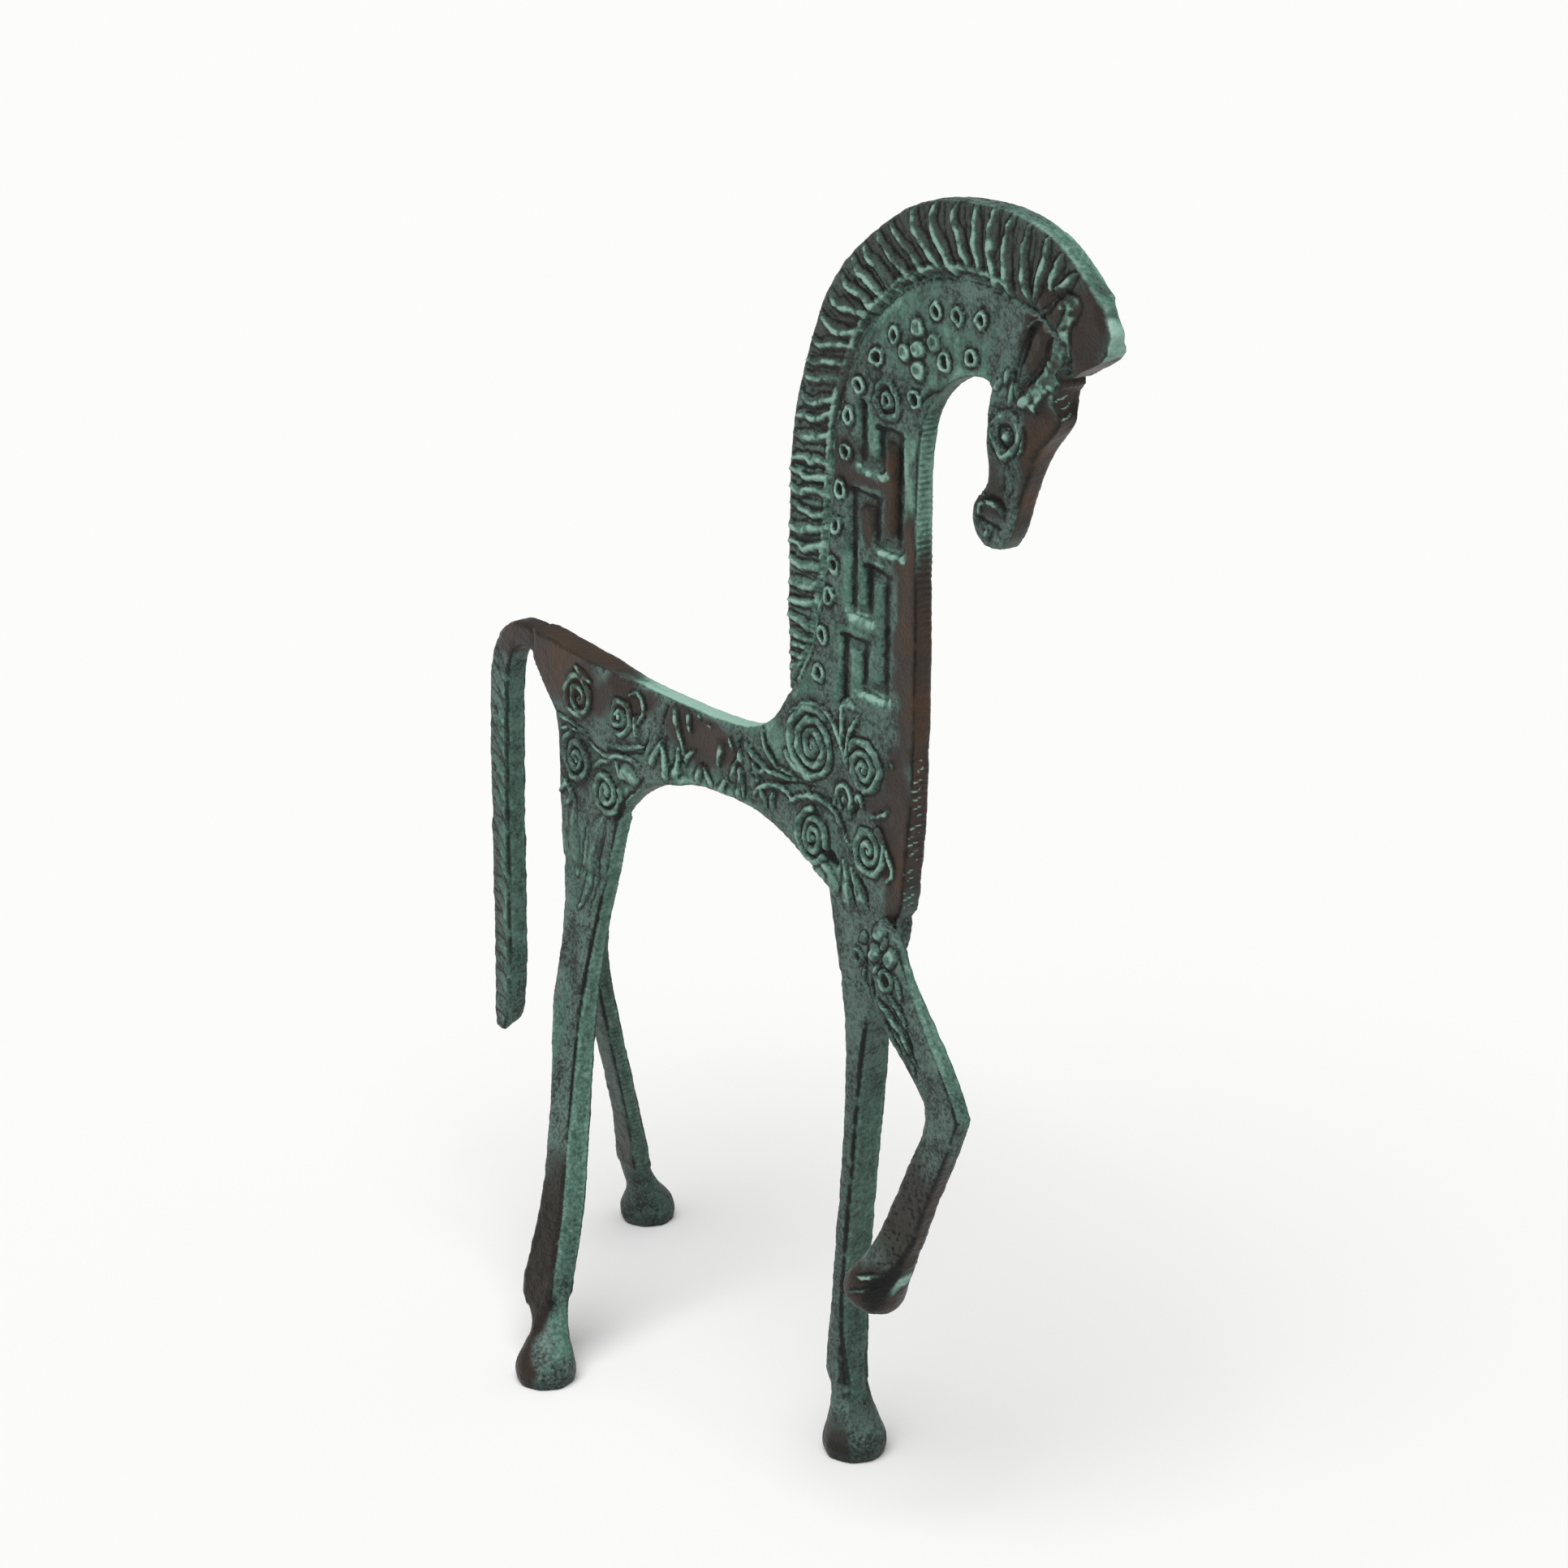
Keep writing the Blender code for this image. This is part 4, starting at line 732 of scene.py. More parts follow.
def trim_mane(points):
    """Fits the mane to what is beside it.

    Its lower end is drawn in to the line of the back, it swells beside the ear to meet the thicker head, and the blunt
    end of the forelock comes forward in scallops 5.6 mm apart.
    """
    flat = on_drawing(points)
    x, z = flat.T
    points[:, 0] += 1.3 * MM * smooth_step(12 - x, 0, 5) * smooth_step(202 - z, 0, 16)
    seam = Stroke(curve((74, 284.6), (84, 283.4), (90, 281.4), (94.6, 278), (97.6, 273.6)), 1.0, 0)
    swell = 1 + 0.26 * smooth_step(9 - over(flat, seam)[0], 0, 8) * smooth_step(x, 74, 84)
    points[:, 1] = MIDDLE_Y * MM + (points[:, 1] - MIDDLE_Y * MM) * swell
    blunt = smooth_step(x, 97, 107) * smooth_step(298 - z, 0, 10)
    points[:, 0] += MM * blunt * (1.7 + 0.35 * np.sin(2 * math.pi * z / 5.6))
    points[:, 2] -= MM * blunt * 0.5 * smooth_step(280 - z, 0, 6)
    return points


def slant_tip(points):
    """Cuts the tail's tip on the slant, lowest at its near front corner."""
    x, z = on_drawing(points).T
    rise = 5 * np.clip((-112 - x) / 8, 0, 1) + 3 * (points[:, 1] / MM - MIDDLE_Y + 2.9) / 5.8
    points[:, 2] += rise * MM * (1 - smooth_step(z, 54.6, 68))
    return points


def fuller_hoof(x, y, z, share):
    """A shape that swells a hoof about its own middle, to the fuller ball of the cast one."""
    middle = np.array((x + DRAWING_X, y, z)) * MM

    def swell(points):
        off = points - middle
        near = 1 - smooth_step(np.linalg.norm(off, axis=1) / MM, 9, 15)
        points[:, :2] += off[:, :2] * (share * near)[:, None]
        return points
    return swell


def narrow_nose(points):
    """Works the front of the head.

    Both faces are bevelled towards the bridge of the nose from a crisp line down the face, the brow bulges above it
    and the face is hollow under the forelock.
    """
    top, foot = np.array((88.3, 263.0)), np.array((80.9, 236.0))
    brow_height, hollow_height, depth = 261.5, 271.5, 15
    way = (foot - top) / np.linalg.norm(foot - top)
    flat = on_drawing(points)
    off, height = flat - top, flat[:, 1]
    beyond = off[:, 1] * way[0] - off[:, 0] * way[1]
    along = off @ way
    near = beyond < depth
    bevelled = (beyond > 0) & near & (along > -4) & (points[:, 0] > 0.07)
    share = 1 - 0.1 * np.clip(beyond, 0, 3.5) * smooth_step(along, -4, 0)
    spread = np.where(height > brow_height, 3.3, 5.5)
    push = 2.4 * np.exp(-((height - brow_height) / spread) ** 2) * smooth_step(beyond, 0, 3) * near
    push -= 2.6 * np.exp(-((height - hollow_height) / 2) ** 2) * smooth_step(beyond, 3, 7) * near
    points[:, 0] += MM * push * (points[:, 0] > 0.09)
    points[:, 1] = np.where(bevelled, MIDDLE_Y * MM + (points[:, 1] - MIDDLE_Y * MM) * share, points[:, 1])
    return points


def round_off(skin, points, spots):
    """Smooths the points in soft spots, with the soles kept on the floor."""
    loose = patches(on_drawing(points), {"all": np.ones(len(points))}, spots) > 0.4
    if not loose.any():
        return points
    lifted = loose & (points[:, 2] > 0.2 * MM)
    return np.column_stack([around(skin, points[:, axis], SOFT_ROUNDS, moving)
                            for axis, moving in enumerate((loose, loose, lifted))])


def scratches(points, front, bands, fine, other):
    """Short slanted scratches on the near half of a front face, between the heights of each band."""
    height = on_drawing(points)[:, 1]
    slanted = height - 0.35 * points[:, 1] / MM + 0.4 * fine
    scratch = smooth_step(np.sin(2 * math.pi * slanted / SCRATCH_SPACING), 0.7, 0.95) * smooth_step(other, -0.4, 0)
    total = np.zeros(len(points))
    for low, high in bands:
        total += scratch * front * (height > low) * (height < high) * (points[:, 1] < 0)
    return total


def proudness(skin, carried):
    """How far each point stands out of the skin around it, in steps of 0.04 mm, and nil along the joints."""
    points, normals = get_points(skin), get_normals(skin)
    mean = np.column_stack([around(skin, points[:, axis], 2) for axis in range(3)])
    proud = around(skin, np.sum((points - mean) * normals, axis=1), 1) / (0.04 * MM)
    return proud * (1 - smooth_step(around(skin, carried.astype(float), 5), 0, 0.1))


def add_values(mesh, name, values):
    """Keeps a value from nil to one at each point, for the material to read."""
    layer = mesh.attributes.new(name, "FLOAT", "POINT")
    layer.data.foreach_set("value", np.clip(values, 0, 1).astype(np.float32))


def casting(node, drawn=(), solid=(), green=(), bare=(), soot=(), neighbours=(), flush=True, refine=False,
            striations=0.0, corner=0.0, lumpy=1.0, pits=(), rounded=(), ticks=(), shape=None):
    """Builds one casting's visible piece, with relief in its mesh and its patina, painted highlights and painted shade
    in three attributes.

    The scene alone draws the strokes in drawn, and the CAD has those in solid too. Soft spots give the green, bare,
    sooty, pitted and rounded places. Corner is the share of painted shade along the arrises that face forward. The
    neighbours are the castings that it is joined to.
    """
    relief = bpy.context.scene.horse_relief
    every = list(drawn) + list(solid)
    spacing = relief.body_skin if refine else relief.skin
    skin = skin_of(node, spacing, every, solid, neighbours if flush else (), refine)
    points = round_off(skin, get_points(skin), rounded)
    points, carried, outers = close_seams(points, get_normals(skin), neighbours)
    if shape:
        points = shape(points)
    set_points(skin, points)
    normals = get_normals(skin)
    normals[carried] = outers[carried]
    flat = on_drawing(points)
    side = smooth_step(np.abs(normals[:, 1]), 0.45, 0.85)
    side[carried & ~outers.any(axis=1)] = 1
    inland = around(skin, side, 5) ** 2
    settled = inland if refine else around(skin, side, 10) ** 2
    faces = {"side": side, "front": smooth_step(normals[:, 0], 0.35, 0.75) * (1 - side),
             "top": smooth_step(normals[:, 2], 0.4, 0.8) * (1 - side), "all": np.ones(len(side))}

    # The ornament is lifted straight off the broad faces, along lines that waver as if drawn by hand.
    broad, fine, other = lumps(points, LUMP), lumps(points, GRAIN), lumps(points + ELSEWHERE, GRAIN)
    unsteady = 0.3 * np.column_stack([fine, other]) + 0.5 * np.column_stack([broad, lumps(points + ELSEWHERE, LUMP)])
    height, drawn_green, dirt_and_shade, _ = draw(flat + unsteady, every)
    lift = height * MM * relief.height * settled * (1 + 0.5 * broad) * np.sign(normals[:, 1])

    # Lumps, tool marks, pits and scratches stand on the skin's own normals.
    rise = (broad * 0.6 + fine * 0.5) * relief.wear * lumpy
    wave = np.sin(points[:, 2] / MM * 2 * math.pi / MARK_SPACING + 2.5 * lumps(points, WAVER, 2))
    marked = faces["front"] * (points[:, 2] < MARKS_TOP) * (points[:, 0] < MARKS_FRONT)
    rise += marked * striations * MM * wave * smooth_step(other, -0.5, 0.3)
    pitted = (0.2 + patches(flat, faces, pits)) * smooth_step(lumps(points, PIT, 2), 0.15, 0.5)
    rise -= PIT_DEPTH * MM * pitted
    scratched = scratches(points, faces["front"], ticks, fine, other)
    rise += SCRATCH_RISE * MM * scratched
    points[:, 1] += lift
    set_points(skin, points + normals * rise[:, None])

    # Verdigris takes crests, scratches and proud edges, and with it go the key's painted highlights and the painted
    # sheen on the back's top. A near-black coat takes grime and painted shade: cuts, the key, the foot of raised
    # lines, pits, hollows of the skin and the painted shade along the arrises that face forward.
    proud = proudness(skin, carried)
    warped = flat + 3 * np.column_stack([lumps(points, DRIFT), lumps(points + ELSEWHERE, DRIFT)])
    arris = smooth_step(normals[:, 0] * np.abs(normals[:, 1]) * 2, 0.4, 0.85)
    # Painted shade along the arrises that face forward, broken by the lumps and fading out near the floor.
    arris_shade = corner * arris * smooth_step(broad + 0.5 * fine, -0.9, 0) * smooth_step(points[:, 2] / MM, 10, 20)
    crest = drawn_green * inland * (0.3 + 0.9 * smooth_step(other + 0.6 * broad, -0.5, 0.5))
    verdigris_and_highlight = np.maximum.reduce([crest, patches(warped, faces, green), scratched])
    # Grime and painted shade together: cuts and feet of raised lines on the broad faces, dark spots, the arris shade
    # and pits.
    recess_grime_and_shade = np.maximum.reduce([dirt_and_shade * side, patches(warped, faces, soot), arris_shade, 0.8 * pitted])
    add_values(skin, "verdigris_and_highlight", verdigris_and_highlight + 0.16 * np.clip(proud, -1, 1.5))
    # Hollows of the skin add painted shade.
    add_values(skin, "recess_grime_and_shade", recess_grime_and_shade + 0.2 * np.clip(-proud - 0.15, 0, 1.5))
    add_values(skin, "bare", patches(warped, faces, bare))
    skin.shade_smooth()
    piece = bpy.data.objects.new(node + "_cast", skin)
    bpy.context.scene.collection.objects.link(piece)
    skin.materials.clear()
    skin.materials.append(patinated_bronze())
    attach(piece, "root")
    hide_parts(node)


def add_node(tree, kind, settings=None, inputs=None):
    """Adds a node; inputs maps a socket's name or number to a value, or to the socket that feeds it."""
    made = tree.nodes.new(kind)
    for name, value in (settings or {}).items():
        setattr(made, name, value)
    for key, value in (inputs or {}).items():
        if isinstance(value, bpy.types.NodeSocket):
            tree.links.new(value, made.inputs[key])
        else:
            made.inputs[key].default_value = value
    return made


def empty_material(name):
    """A new material and its bare node tree."""
    made = bpy.data.materials.new(name)
    made.use_nodes = True
    made.node_tree.nodes.clear()
    return made, made.node_tree


def patinated_bronze():
    """Sand-cast bronze under a green copper patina, with painted highlights and painted shade in it.

    A matt green crust stands on edges and raised lines and also gives painted highlights, a thin teal film with dark
    oxide covers the plains, rubbed places show satin brown metal and the recesses are near black with grime and
    painted shade.
    """
    name = "Verdigris patina on sand-cast bronze"
    if name in bpy.data.materials:
        return bpy.data.materials[name]
    patina = bpy.context.scene.horse_patina
    made, tree = empty_material(name)
    place = add_node(tree, "ShaderNodeTexCoord").outputs["Object"]
    # Patches of film about 6 mm across, crust grains and casting pits of about 0.8 mm, and warmer clouds in the brown
    # about 14 mm across.
    film = add_node(tree, "ShaderNodeTexNoise", inputs={
        "Vector": place, "Scale": 1 / (6 * MM), "Detail": 6.0, "Roughness": 0.7}).outputs["Fac"]
    grain = add_node(tree, "ShaderNodeTexNoise", inputs={
        "Vector": place, "Scale": 1 / (0.8 * MM), "Detail": 4.0, "Roughness": 0.65}).outputs["Fac"]
    pits = add_node(tree, "ShaderNodeTexVoronoi", inputs={
        "Vector": place, "Scale": 1 / (0.8 * MM)}).outputs["Distance"]
    clouds = add_node(tree, "ShaderNodeTexNoise", inputs={
        "Vector": place, "Scale": 1 / (14 * MM), "Detail": 3.0}).outputs["Fac"]
    verdigris_and_highlight, recess_grime_and_shade, bare = (add_node(tree, "ShaderNodeAttribute", {"attribute_name": value}).outputs["Fac"]
                               for value in ("verdigris_and_highlight", "recess_grime_and_shade", "bare"))

    mottle = add_node(tree, "ShaderNodeMath", {"operation": "MULTIPLY_ADD"}, {
        0: grain, 1: 1.0, 2: film}).outputs[0]
    plain_share = add_node(tree, "ShaderNodeMapRange", {"interpolation_type": "SMOOTHSTEP"}, {
        "Value": mottle, "From Min": 0.78, "From Max": 1.2}).outputs["Result"]
    colour = add_node(tree, "ShaderNodeMix", {"data_type": "RGBA"}, {
        0: plain_share, 6: (*patina.dark, 1), 7: (*patina.teal, 1)}).outputs[2]
    cloudy = add_node(tree, "ShaderNodeMapRange", {"interpolation_type": "SMOOTHSTEP"}, {
        "Value": clouds, "From Min": 0.38, "From Max": 0.68}).outputs["Result"]
    worn = add_node(tree, "ShaderNodeMapRange", inputs={
        "Value": bare, "From Min": 0.7, "From Max": 0.95}).outputs["Result"]
    warm_share = add_node(tree, "ShaderNodeMath", {"operation": "MULTIPLY"}, {0: cloudy, 1: worn}).outputs[0]
    brown = add_node(tree, "ShaderNodeMix", {"data_type": "RGBA"}, {
        0: warm_share, 6: (*patina.bare, 1), 7: (*patina.rust, 1)}).outputs[2]

    # Coats over the plain film in order: rubbed brown, a smooth green film, pale crust in grains, which also gives
    # painted highlights, and near-black grime with painted shade. Each has what spreads it, the noise that breaks its
    # edge and how much, where it starts and is full, and its full share.
    shares = []
    for spread, ragged, much, start, full, most, coat in (
            (bare, mottle, 0.45, 0.69, 1.15, 1.0, brown),
            (verdigris_and_highlight, mottle, 0.3, 0.52, 0.95, 0.9, (*patina.moss, 1)),
            (verdigris_and_highlight, mottle, 0.6, 1.05, 1.6, 1.0, (*patina.verdigris_and_highlight, 1)),
            (recess_grime_and_shade, grain, -0.35, -0.1, 0.75, 1.0, (*patina.soot, 1))):
        amount = add_node(tree, "ShaderNodeMath", {"operation": "MULTIPLY_ADD"}, {
            0: ragged, 1: much, 2: spread}).outputs[0]
        shares.append(add_node(tree, "ShaderNodeMapRange", {"interpolation_type": "SMOOTHSTEP"}, {
            "Value": amount, "From Min": start, "From Max": full, "To Max": most}).outputs["Result"])
        colour = add_node(tree, "ShaderNodeMix", {"data_type": "RGBA"}, {
            0: shares[-1], 6: colour, 7: coat}).outputs[2]

    # Rubbed metal is smoother than the patina and shines a little.
    rubbed = shares[0]
    dry = add_node(tree, "ShaderNodeMapRange", inputs={
        "Value": rubbed, "To Min": 0.52, "To Max": 0.4}).outputs["Result"]
    shine = add_node(tree, "ShaderNodeMath", {"operation": "MULTIPLY"}, {0: rubbed, 1: 0.25}).outputs[0]
    uneven = add_node(tree, "ShaderNodeMath", {"operation": "MULTIPLY_ADD"}, {
        0: pits, 1: 0.5, 2: grain}).outputs[0]
    bump = add_node(tree, "ShaderNodeBump", inputs={
        "Strength": 0.6, "Distance": 0.3 * MM, "Height": uneven}).outputs["Normal"]
    shader = add_node(tree, "ShaderNodeBsdfPrincipled", inputs={
        "Base Color": colour, "Roughness": dry, "Metallic": shine, "Specular IOR Level": 0.25, "Normal": bump})
    add_node(tree, "ShaderNodeOutputMaterial", inputs={"Surface": shader.outputs[0]})
    return made


def drawn_bronze():
    """Drawn bronze rod: bright yellow metal with fine die marks, on dowels that sit inside the castings."""
    patina = bpy.context.scene.horse_patina
    made, tree = empty_material("Drawn bronze rod")
    place = add_node(tree, "ShaderNodeTexCoord").outputs["Object"]
    # Die marks about 0.3 mm apart.
    marks = add_node(tree, "ShaderNodeTexNoise", inputs={"Vector": place, "Scale": 1 / (0.3 * MM)}).outputs["Fac"]
    dull = add_node(tree, "ShaderNodeMapRange", inputs={"Value": marks, "To Min": 0.28, "To Max": 0.46})
    bump = add_node(tree, "ShaderNodeBump", inputs={"Strength": 0.2, "Distance": 0.05 * MM, "Height": marks})
    shader = add_node(tree, "ShaderNodeBsdfPrincipled", inputs={
        "Base Color": (*patina.rod, 1), "Metallic": 1.0, "Roughness": dull.outputs[0], "Normal": bump.outputs[0]})
    add_node(tree, "ShaderNodeOutputMaterial", inputs={"Surface": shader.outputs[0]})
    return made


def white_paper():
    """Matt white paper: pale to the eye and in reflections, and it throws a softer light back on the horse."""
    settings = bpy.context.scene.horse_stage
    made, tree = empty_material("Matt white paper")
    rays = add_node(tree, "ShaderNodeLightPath").outputs
    seen = rays["Is Camera Ray"]
    for kind in ("Is Glossy Ray", "Is Transmission Ray"):
        seen = add_node(tree, "ShaderNodeMath", {"operation": "MAXIMUM"}, {0: seen, 1: rays[kind]}).outputs[0]
    colour = add_node(tree, "ShaderNodeMix", {"data_type": "RGBA"}, {
        0: seen, 6: (*settings.bounce, 1), 7: (*settings.floor, 1)}).outputs[2]
    shader = add_node(tree, "ShaderNodeBsdfDiffuse", inputs={"Color": colour})
    add_node(tree, "ShaderNodeOutputMaterial", inputs={"Surface": shader.outputs[0]})
    return made


# Soft spots of verdigris, bare metal and dark grime: face, x, z, half width, half height and share. The green spot on
# the top face of the back is pale crust and a painted sheen of the overhead light.
HIND_GREEN = [("side", -79, 116, 9, 16, 0.45), ("front", -65, 75, 22, 75, 0.55), ("side", -78, 76, 3, 16, 0.5)]
HIND_SOOT = [("side", -80, 95, 4, 8, 0.45), ("side", -71, 80, 3, 24, 0.3)]
BODY_GREEN = HIND_GREEN + [
    ("side", 3, 164, 14, 10, 0.45), ("side", 26, 203, 14, 20, 0.35), ("side", 22, 155, 16, 16, 0.35),
    ("side", -62, 140, 14, 9, 0.5), ("side", -30, 152, 24, 3.2, 0.65), ("side", 0, 169, 7, 6, 0.6),
    ("side", 18, 145, 8, 4, 0.6), ("side", 12, 185, 6, 10, 0.55), ("side", 54, 268, 26, 13, 0.52),
    ("side", 34, 246, 5, 6, 0.45), ("side", 79.6, 266, 3, 5, 0.6), ("side", 46, 242, 2.4, 10, 0.55),
    # The top spot here is pale crust and a painted sheen of the overhead light along the back.
    ("front", 52, 239, 9, 17, 0.65), ("front", 40, 250, 6, 6, 0.6), ("top", -28, 170, 27, 9, 1.0),
    ("side", 92, 271, 3, 6, 0.4), ("side", 30, 185, 14, 8, 0.35)]
BODY_BARE = [
    ("side", 47.5, 205, 4.4, 30, 1.0), ("side", 45, 158, 6.5, 22, 1.0), ("side", 40, 164, 5, 4, 0.8),
    ("side", 40, 236, 3, 11, 0.95), ("side", 33, 227, 3, 5, 0.9), ("side", 33.5, 236, 6, 1.8, 0.7),
    ("side", 25, 237, 6, 7, 0.65), ("side", 46, 224, 4, 9, 0.85), ("side", -28, 161.5, 16, 7, 0.8),
    ("side", -58, 164, 12, 4.5, 0.75), ("side", -86, 163, 19, 9, 0.95), ("side", -73, 160, 10, 6, 0.8),
    ("side", 30, 162, 5, 4, 0.5), ("all", 91, 250, 7.4, 20, 1.0), ("side", 89, 278, 5, 9, 0.75),
    ("side", 74, 243, 6, 8, 0.6), ("front", 51, 185, 12, 42, 1.0), ("front", 92, 250, 16, 24, 1.0),
    ("top", -82, 169, 26, 9, 1.0), ("side", 28, 240, 6, 6, 0.4)]
BODY_SOOT = HIND_SOOT + [
    ("side", 72, 274, 8, 7, 0.1), ("side", 76, 245, 7, 10, 0.3), ("side", 56, 258, 6, 4, 0.6),
    ("side", -80, 140, 9, 9, 0.3), ("front", 68, 240, 5, 14, 0.4), ("all", 91, 248, 7, 18, 0.22)]


class HORSE_OT_body(bpy.types.Operator):
    """Casts the body with its neck, shoulder, haunch and head relief"""
    bl_idname = "horse.body"
    bl_label = "Body"

    def execute(self, context):
        drawn = shoulder_ornament() + haunch_ornament() + thigh_ornament() + ear_ornament() + head_ornament()
        drawn += boundary() + key_light_and_shade()
        casting("body", drawn, solid_ornament(), BODY_GREEN, BODY_BARE, BODY_SOOT,
                neighbours=("mane_crest", "tail", "right_hind_leg", "left_foreleg"), refine=True, striations=0.16,
                corner=0.7, ticks=((144, 180), (261, 267)), shape=narrow_nose)
        return {"FINISHED"}


class HORSE_OT_mane(bpy.types.Operator):
    """Casts the arched mane with its wavy locks"""
    bl_idname = "horse.mane"
    bl_label = "Mane"

    def execute(self, context):
        casting("mane_crest", mane_ornament() + ear_ornament() + boundary(-1.6), neighbours=("body",),
                green=[("front", 110, 281, 7, 3.4, 1.0), ("front", 104, 290, 9, 7, 0.5),
                       # The top spot is green film and a painted sheen of the overhead light on the mane's top face.
                       ("top", 94, 296, 22, 9, 0.5), ("side", 14, 215, 10, 30, 0.45)],
                bare=[("side", 60, 290, 80, 16, 0.5), ("side", 24, 262, 16, 22, 0.5), ("side", 102, 282, 8, 9, 0.72),
                      ("all", 104, 275, 8, 5, 0.72), ("side", 92, 285, 6, 5, 0.75), ("front", 104, 288, 9, 8, 0.5),
                      ("all", 8, 230, 6, 60, 0.25)],
                soot=[("side", 60, 290, 80, 18, 0.05), ("side", 20, 262, 18, 22, 0.06)],
                rounded=[("all", 109, 285, 6, 6, 1.0)], shape=trim_mane)
        return {"FINISHED"}


class HORSE_OT_tail(bpy.types.Operator):
    """Casts the hanging tail with its faint strands"""
    bl_idname = "horse.tail"
    bl_label = "Tail"

    def execute(self, context):
        casting("tail", tail_ornament(), neighbours=("body",), lumpy=1.8, corner=0.8, shape=slant_tip,
                bare=[("all", -107, 169, 14, 8, 0.95), ("side", -118, 100, 3, 40, 0.4)],
                green=[("side", -113, 110, 3, 60, 0.5), ("front", -110, 110, 6, 60, 0.45)])
        return {"FINISHED"}


class HORSE_OT_legs(bpy.types.Operator):
    """Casts the four legs, three standing and one raised"""
    bl_idname = "horse.legs"
    bl_label = "Legs"

    def execute(self, context):
        casting("right_hind_leg", thigh_ornament(), neighbours=("body",), striations=0.03, corner=1.0,
                lumpy=1.4, green=HIND_GREEN + [("front", -50, 10, 6, 10, 0.5)],
                bare=[("side", -60, 28, 12, 24, 0.66), ("side", -54, 16, 8, 8, 0.66), ("side", -53, 6, 7, 6, 1.0)],
                soot=HIND_SOOT + [("side", -60, 32, 12, 20, 0.45), ("all", -62, 55, 30, 60, 0.26),
                                  ("front", -48, 4, 9, 4, 0.4), ("all", -52, 1, 14, 2.5, 0.6),
                                  ("side", -54, 15, 8, 7, 0.45)],
                rounded=[("all", -50, 7, 14, 11, 1.0)], shape=fuller_hoof(-50.4, -33.95, 5, 0.13))
        casting("left_hind_leg", neighbours=("body",), flush=False, striations=0.06, corner=1.0,
                lumpy=1.4, green=[("front", -95, 60, 18, 60, 0.5), ("side", -95, 60, 18, 60, 0.3)],
                bare=[("side", -100, 26, 10, 16, 0.5)],
                soot=[("all", -98, 50, 26, 70, 0.37), ("side", -100, 8, 20, 14, 0.45), ("all", -106, 1, 20, 3, 0.6),
                      ("all", -108, 6, 16, 8, 0.5), ("side", -98, 34, 10, 20, 0.4)],
                rounded=[("all", -108, 7, 14, 11, 1.0)], shape=fuller_hoof(-108.2, 33.95, 5, 0.1))
        casting("left_foreleg", neighbours=("body",), striations=0.03, corner=1.0, lumpy=1.5,
                green=[("front", 26, 66, 12, 56, 0.5), ("front", 22, 20, 8, 8, 0.4), ("side", 28, 90, 6, 40, 0.25)],
                bare=[("side", 20, 5, 9, 6, 0.6), ("front", 22, 14, 8, 10, 0.4)],
                soot=[("all", 26, 56, 16, 70, 0.36), ("side", 19, 40, 4, 40, 0.35), ("all", 20, 2, 14, 4, 0.6),
                      ("front", 24, 62, 8, 44, 0.2)],
                rounded=[("all", 20, 7, 14, 11, 1.0)], shape=fuller_hoof(19.8, 5.45, 5, 0.16))
        casting("right_foreleg", bead_ornament() + hoof_ornament(), neighbours=("body",), flush=False,
                striations=0.02, corner=0.9, lumpy=1.4,
                green=[("front", 60, 120, 16, 20, 0.48), ("side", 46, 124, 12, 14, 0.3), ("front", 53, 60, 3, 3, 0.8)],
                bare=[("front", 58, 80, 14, 24, 0.72), ("all", 48, 57, 12, 8, 0.75), ("side", 54, 80, 14, 20, 0.6)],
                soot=[("side", 56, 84, 10, 22, 0.4), ("all", 56, 110, 22, 30, 0.3)],
                pits=[("side", 56, 82, 14, 24, 0.7)], rounded=[("all", 47, 57, 12, 9, 1.0)],
                shape=fuller_hoof(45.8, -7.75, 57, 0.1))
        return {"FINISHED"}


class HORSE_OT_dowels(bpy.types.Operator):
    """Gives the hidden dowels their drawn bronze"""
    bl_idname = "horse.dowels"
    bl_label = "Dowels"

    def execute(self, context):
        metal = drawn_bronze()
        for name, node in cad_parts.items():
            if "dowel" in name:
                node.data.materials.clear()
                node.data.materials.append(metal)
        return {"FINISHED"}


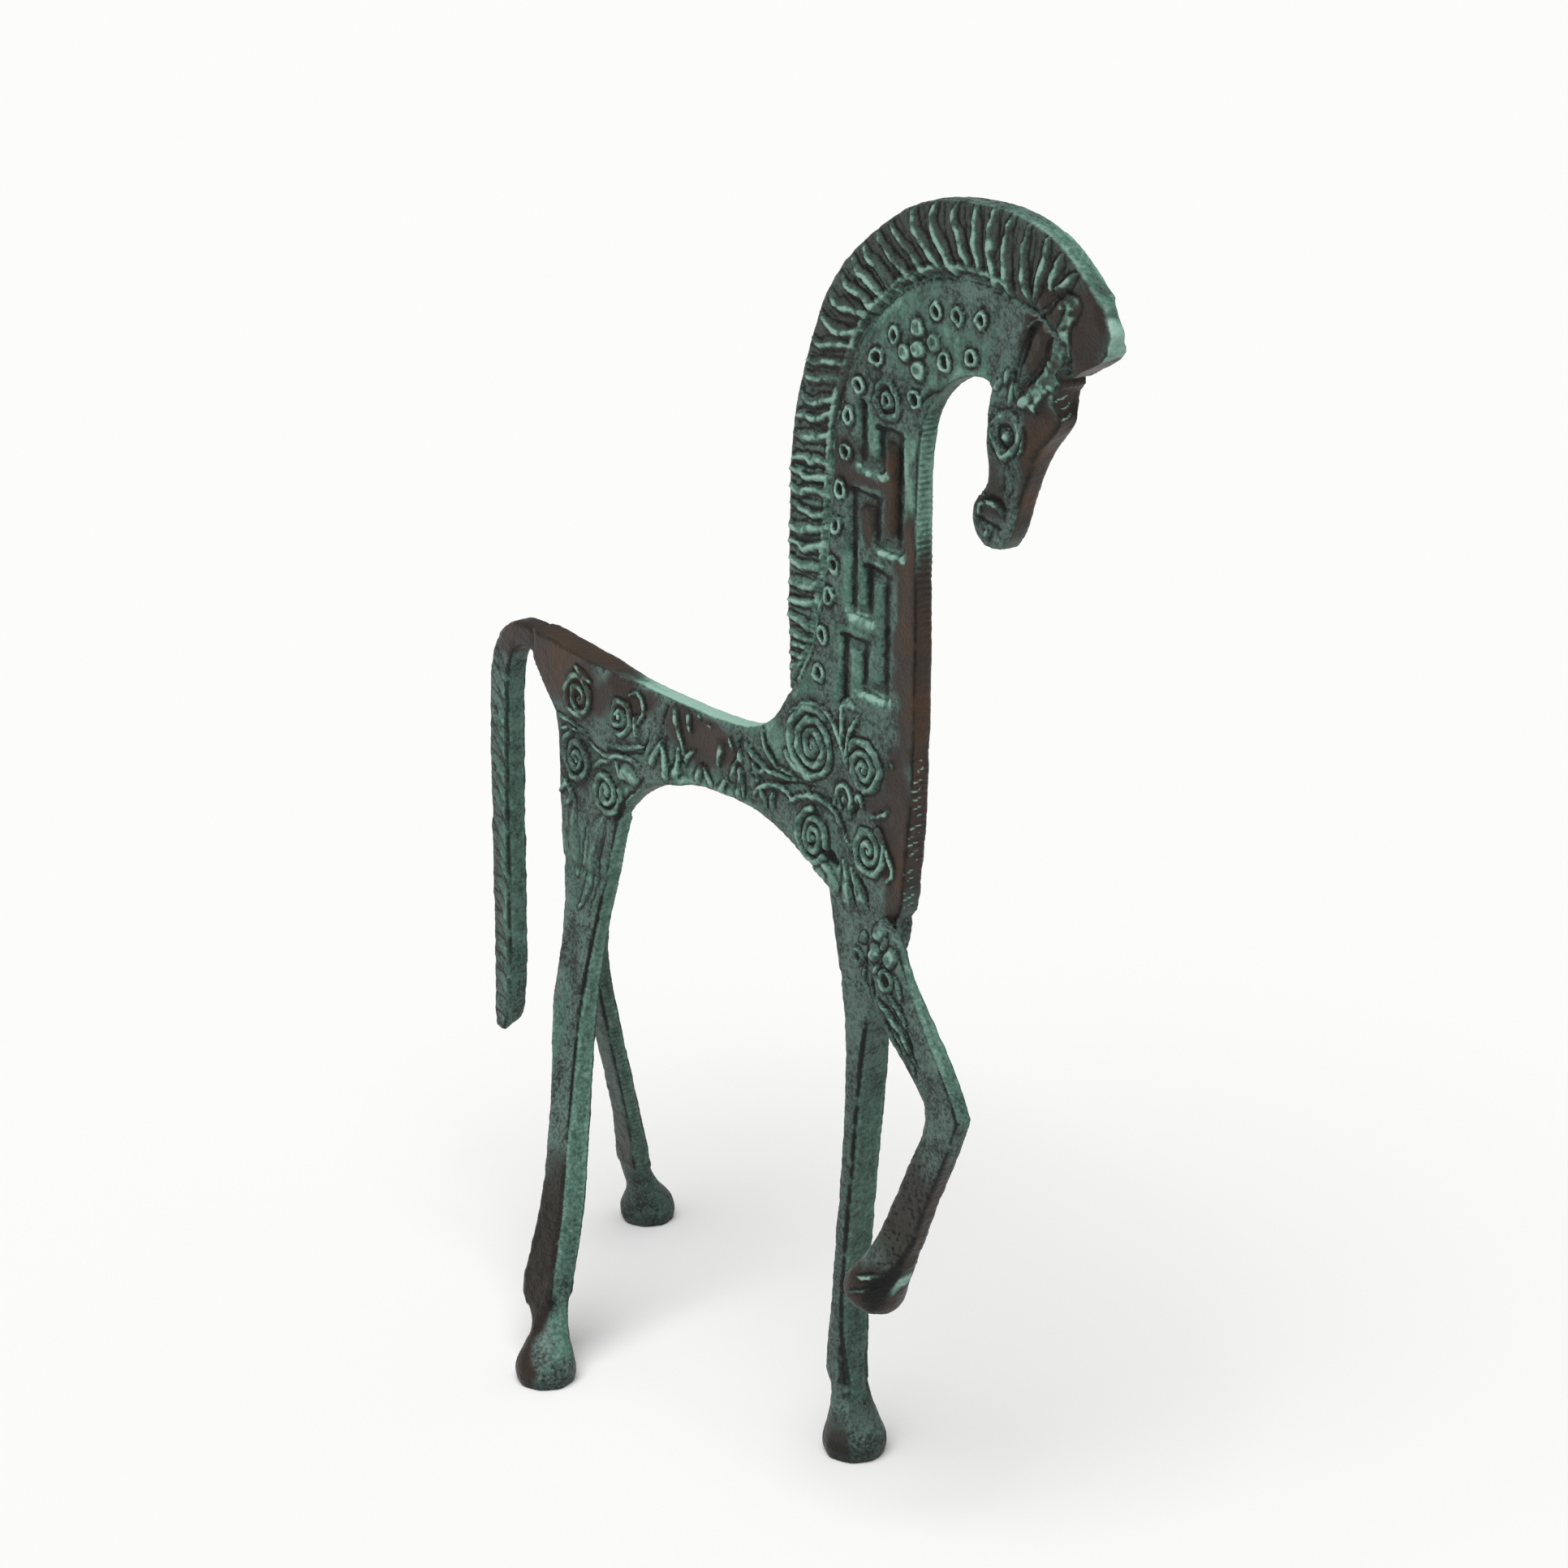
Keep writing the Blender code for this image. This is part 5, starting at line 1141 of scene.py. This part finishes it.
class HORSE_OT_stage(bpy.types.Operator):
    """Lays the floor, hangs the lamps and sets the camera"""
    bl_idname = "horse.stage"
    bl_label = "Stage"

    def execute(self, context):
        settings = context.scene.horse_stage
        bm = bmesh.new()
        bmesh.ops.create_grid(bm, x_segments=1, y_segments=1, size=FLOOR_HALF)
        floor_mesh = bpy.data.meshes.new("floor")
        bm.to_mesh(floor_mesh)
        bm.free()
        floor = bpy.data.objects.new("floor", floor_mesh)
        context.scene.collection.objects.link(floor)
        floor_mesh.materials.append(white_paper())

        world = bpy.data.worlds.new("Studio")
        world.use_nodes = True
        background = world.node_tree.nodes["Background"].inputs
        background["Color"].default_value = (1, 1, 1, 1)
        background["Strength"].default_value = settings.sky
        context.scene.world = world

        sun = bpy.data.lights.new("overhead", "SUN")
        sun.energy = settings.lamp
        sun.angle = math.radians(LAMP_BREADTH)
        lamp = bpy.data.objects.new("overhead", sun)
        lamp.rotation_euler = Vector(LAMP_WAY).to_track_quat("-Z", "Y").to_euler()
        context.scene.collection.objects.link(lamp)

        eye, target = Vector(CAMERA_PLACE), Vector(CAMERA_TARGET)
        lens = bpy.data.cameras.new("photo_view")
        lens.sensor_width, lens.lens = CAMERA_SENSOR, CAMERA_LENS
        lens.clip_end = CAMERA_END
        camera = bpy.data.objects.new("photo_view", lens)
        camera.location = eye
        camera.rotation_euler = (target - eye).to_track_quat("-Z", "Y").to_euler()
        context.scene.collection.objects.link(camera)
        context.scene.camera = camera
        context.scene.view_settings.view_transform = "Standard"
        return {"FINISHED"}


class HORSE_PT_panel(bpy.types.Panel):
    """Sizes, colours and the steps that build the horse"""
    bl_idname = "HORSE_PT_panel"
    bl_label = "Bronze Horse"
    bl_space_type = "VIEW_3D"
    bl_region_type = "UI"
    bl_category = "Horse"

    def draw(self, context):
        for group in (context.scene.horse_relief, context.scene.horse_patina, context.scene.horse_stage):
            for name in group.__annotations__:
                self.layout.prop(group, name)
        for step in STEPS:
            self.layout.operator(step.bl_idname)


STEPS = (HORSE_OT_body, HORSE_OT_mane, HORSE_OT_tail, HORSE_OT_legs, HORSE_OT_dowels, HORSE_OT_stage)
GROUPS = {"horse_relief": HorseRelief, "horse_patina": HorsePatina, "horse_stage": HorseStage}


def register():
    for kind in (*GROUPS.values(), *STEPS, HORSE_PT_panel):
        bpy.utils.register_class(kind)
    for name, kind in GROUPS.items():
        setattr(bpy.types.Scene, name, PointerProperty(type=kind))


def unregister():
    for name in GROUPS:
        delattr(bpy.types.Scene, name)
    for kind in (HORSE_PT_panel, *STEPS, *reversed(GROUPS.values())):
        bpy.utils.unregister_class(kind)


def main():
    register()
    for step in STEPS:
        getattr(bpy.ops.horse, step.bl_idname.split(".")[1])()


if __name__ == "__main__":
    main()
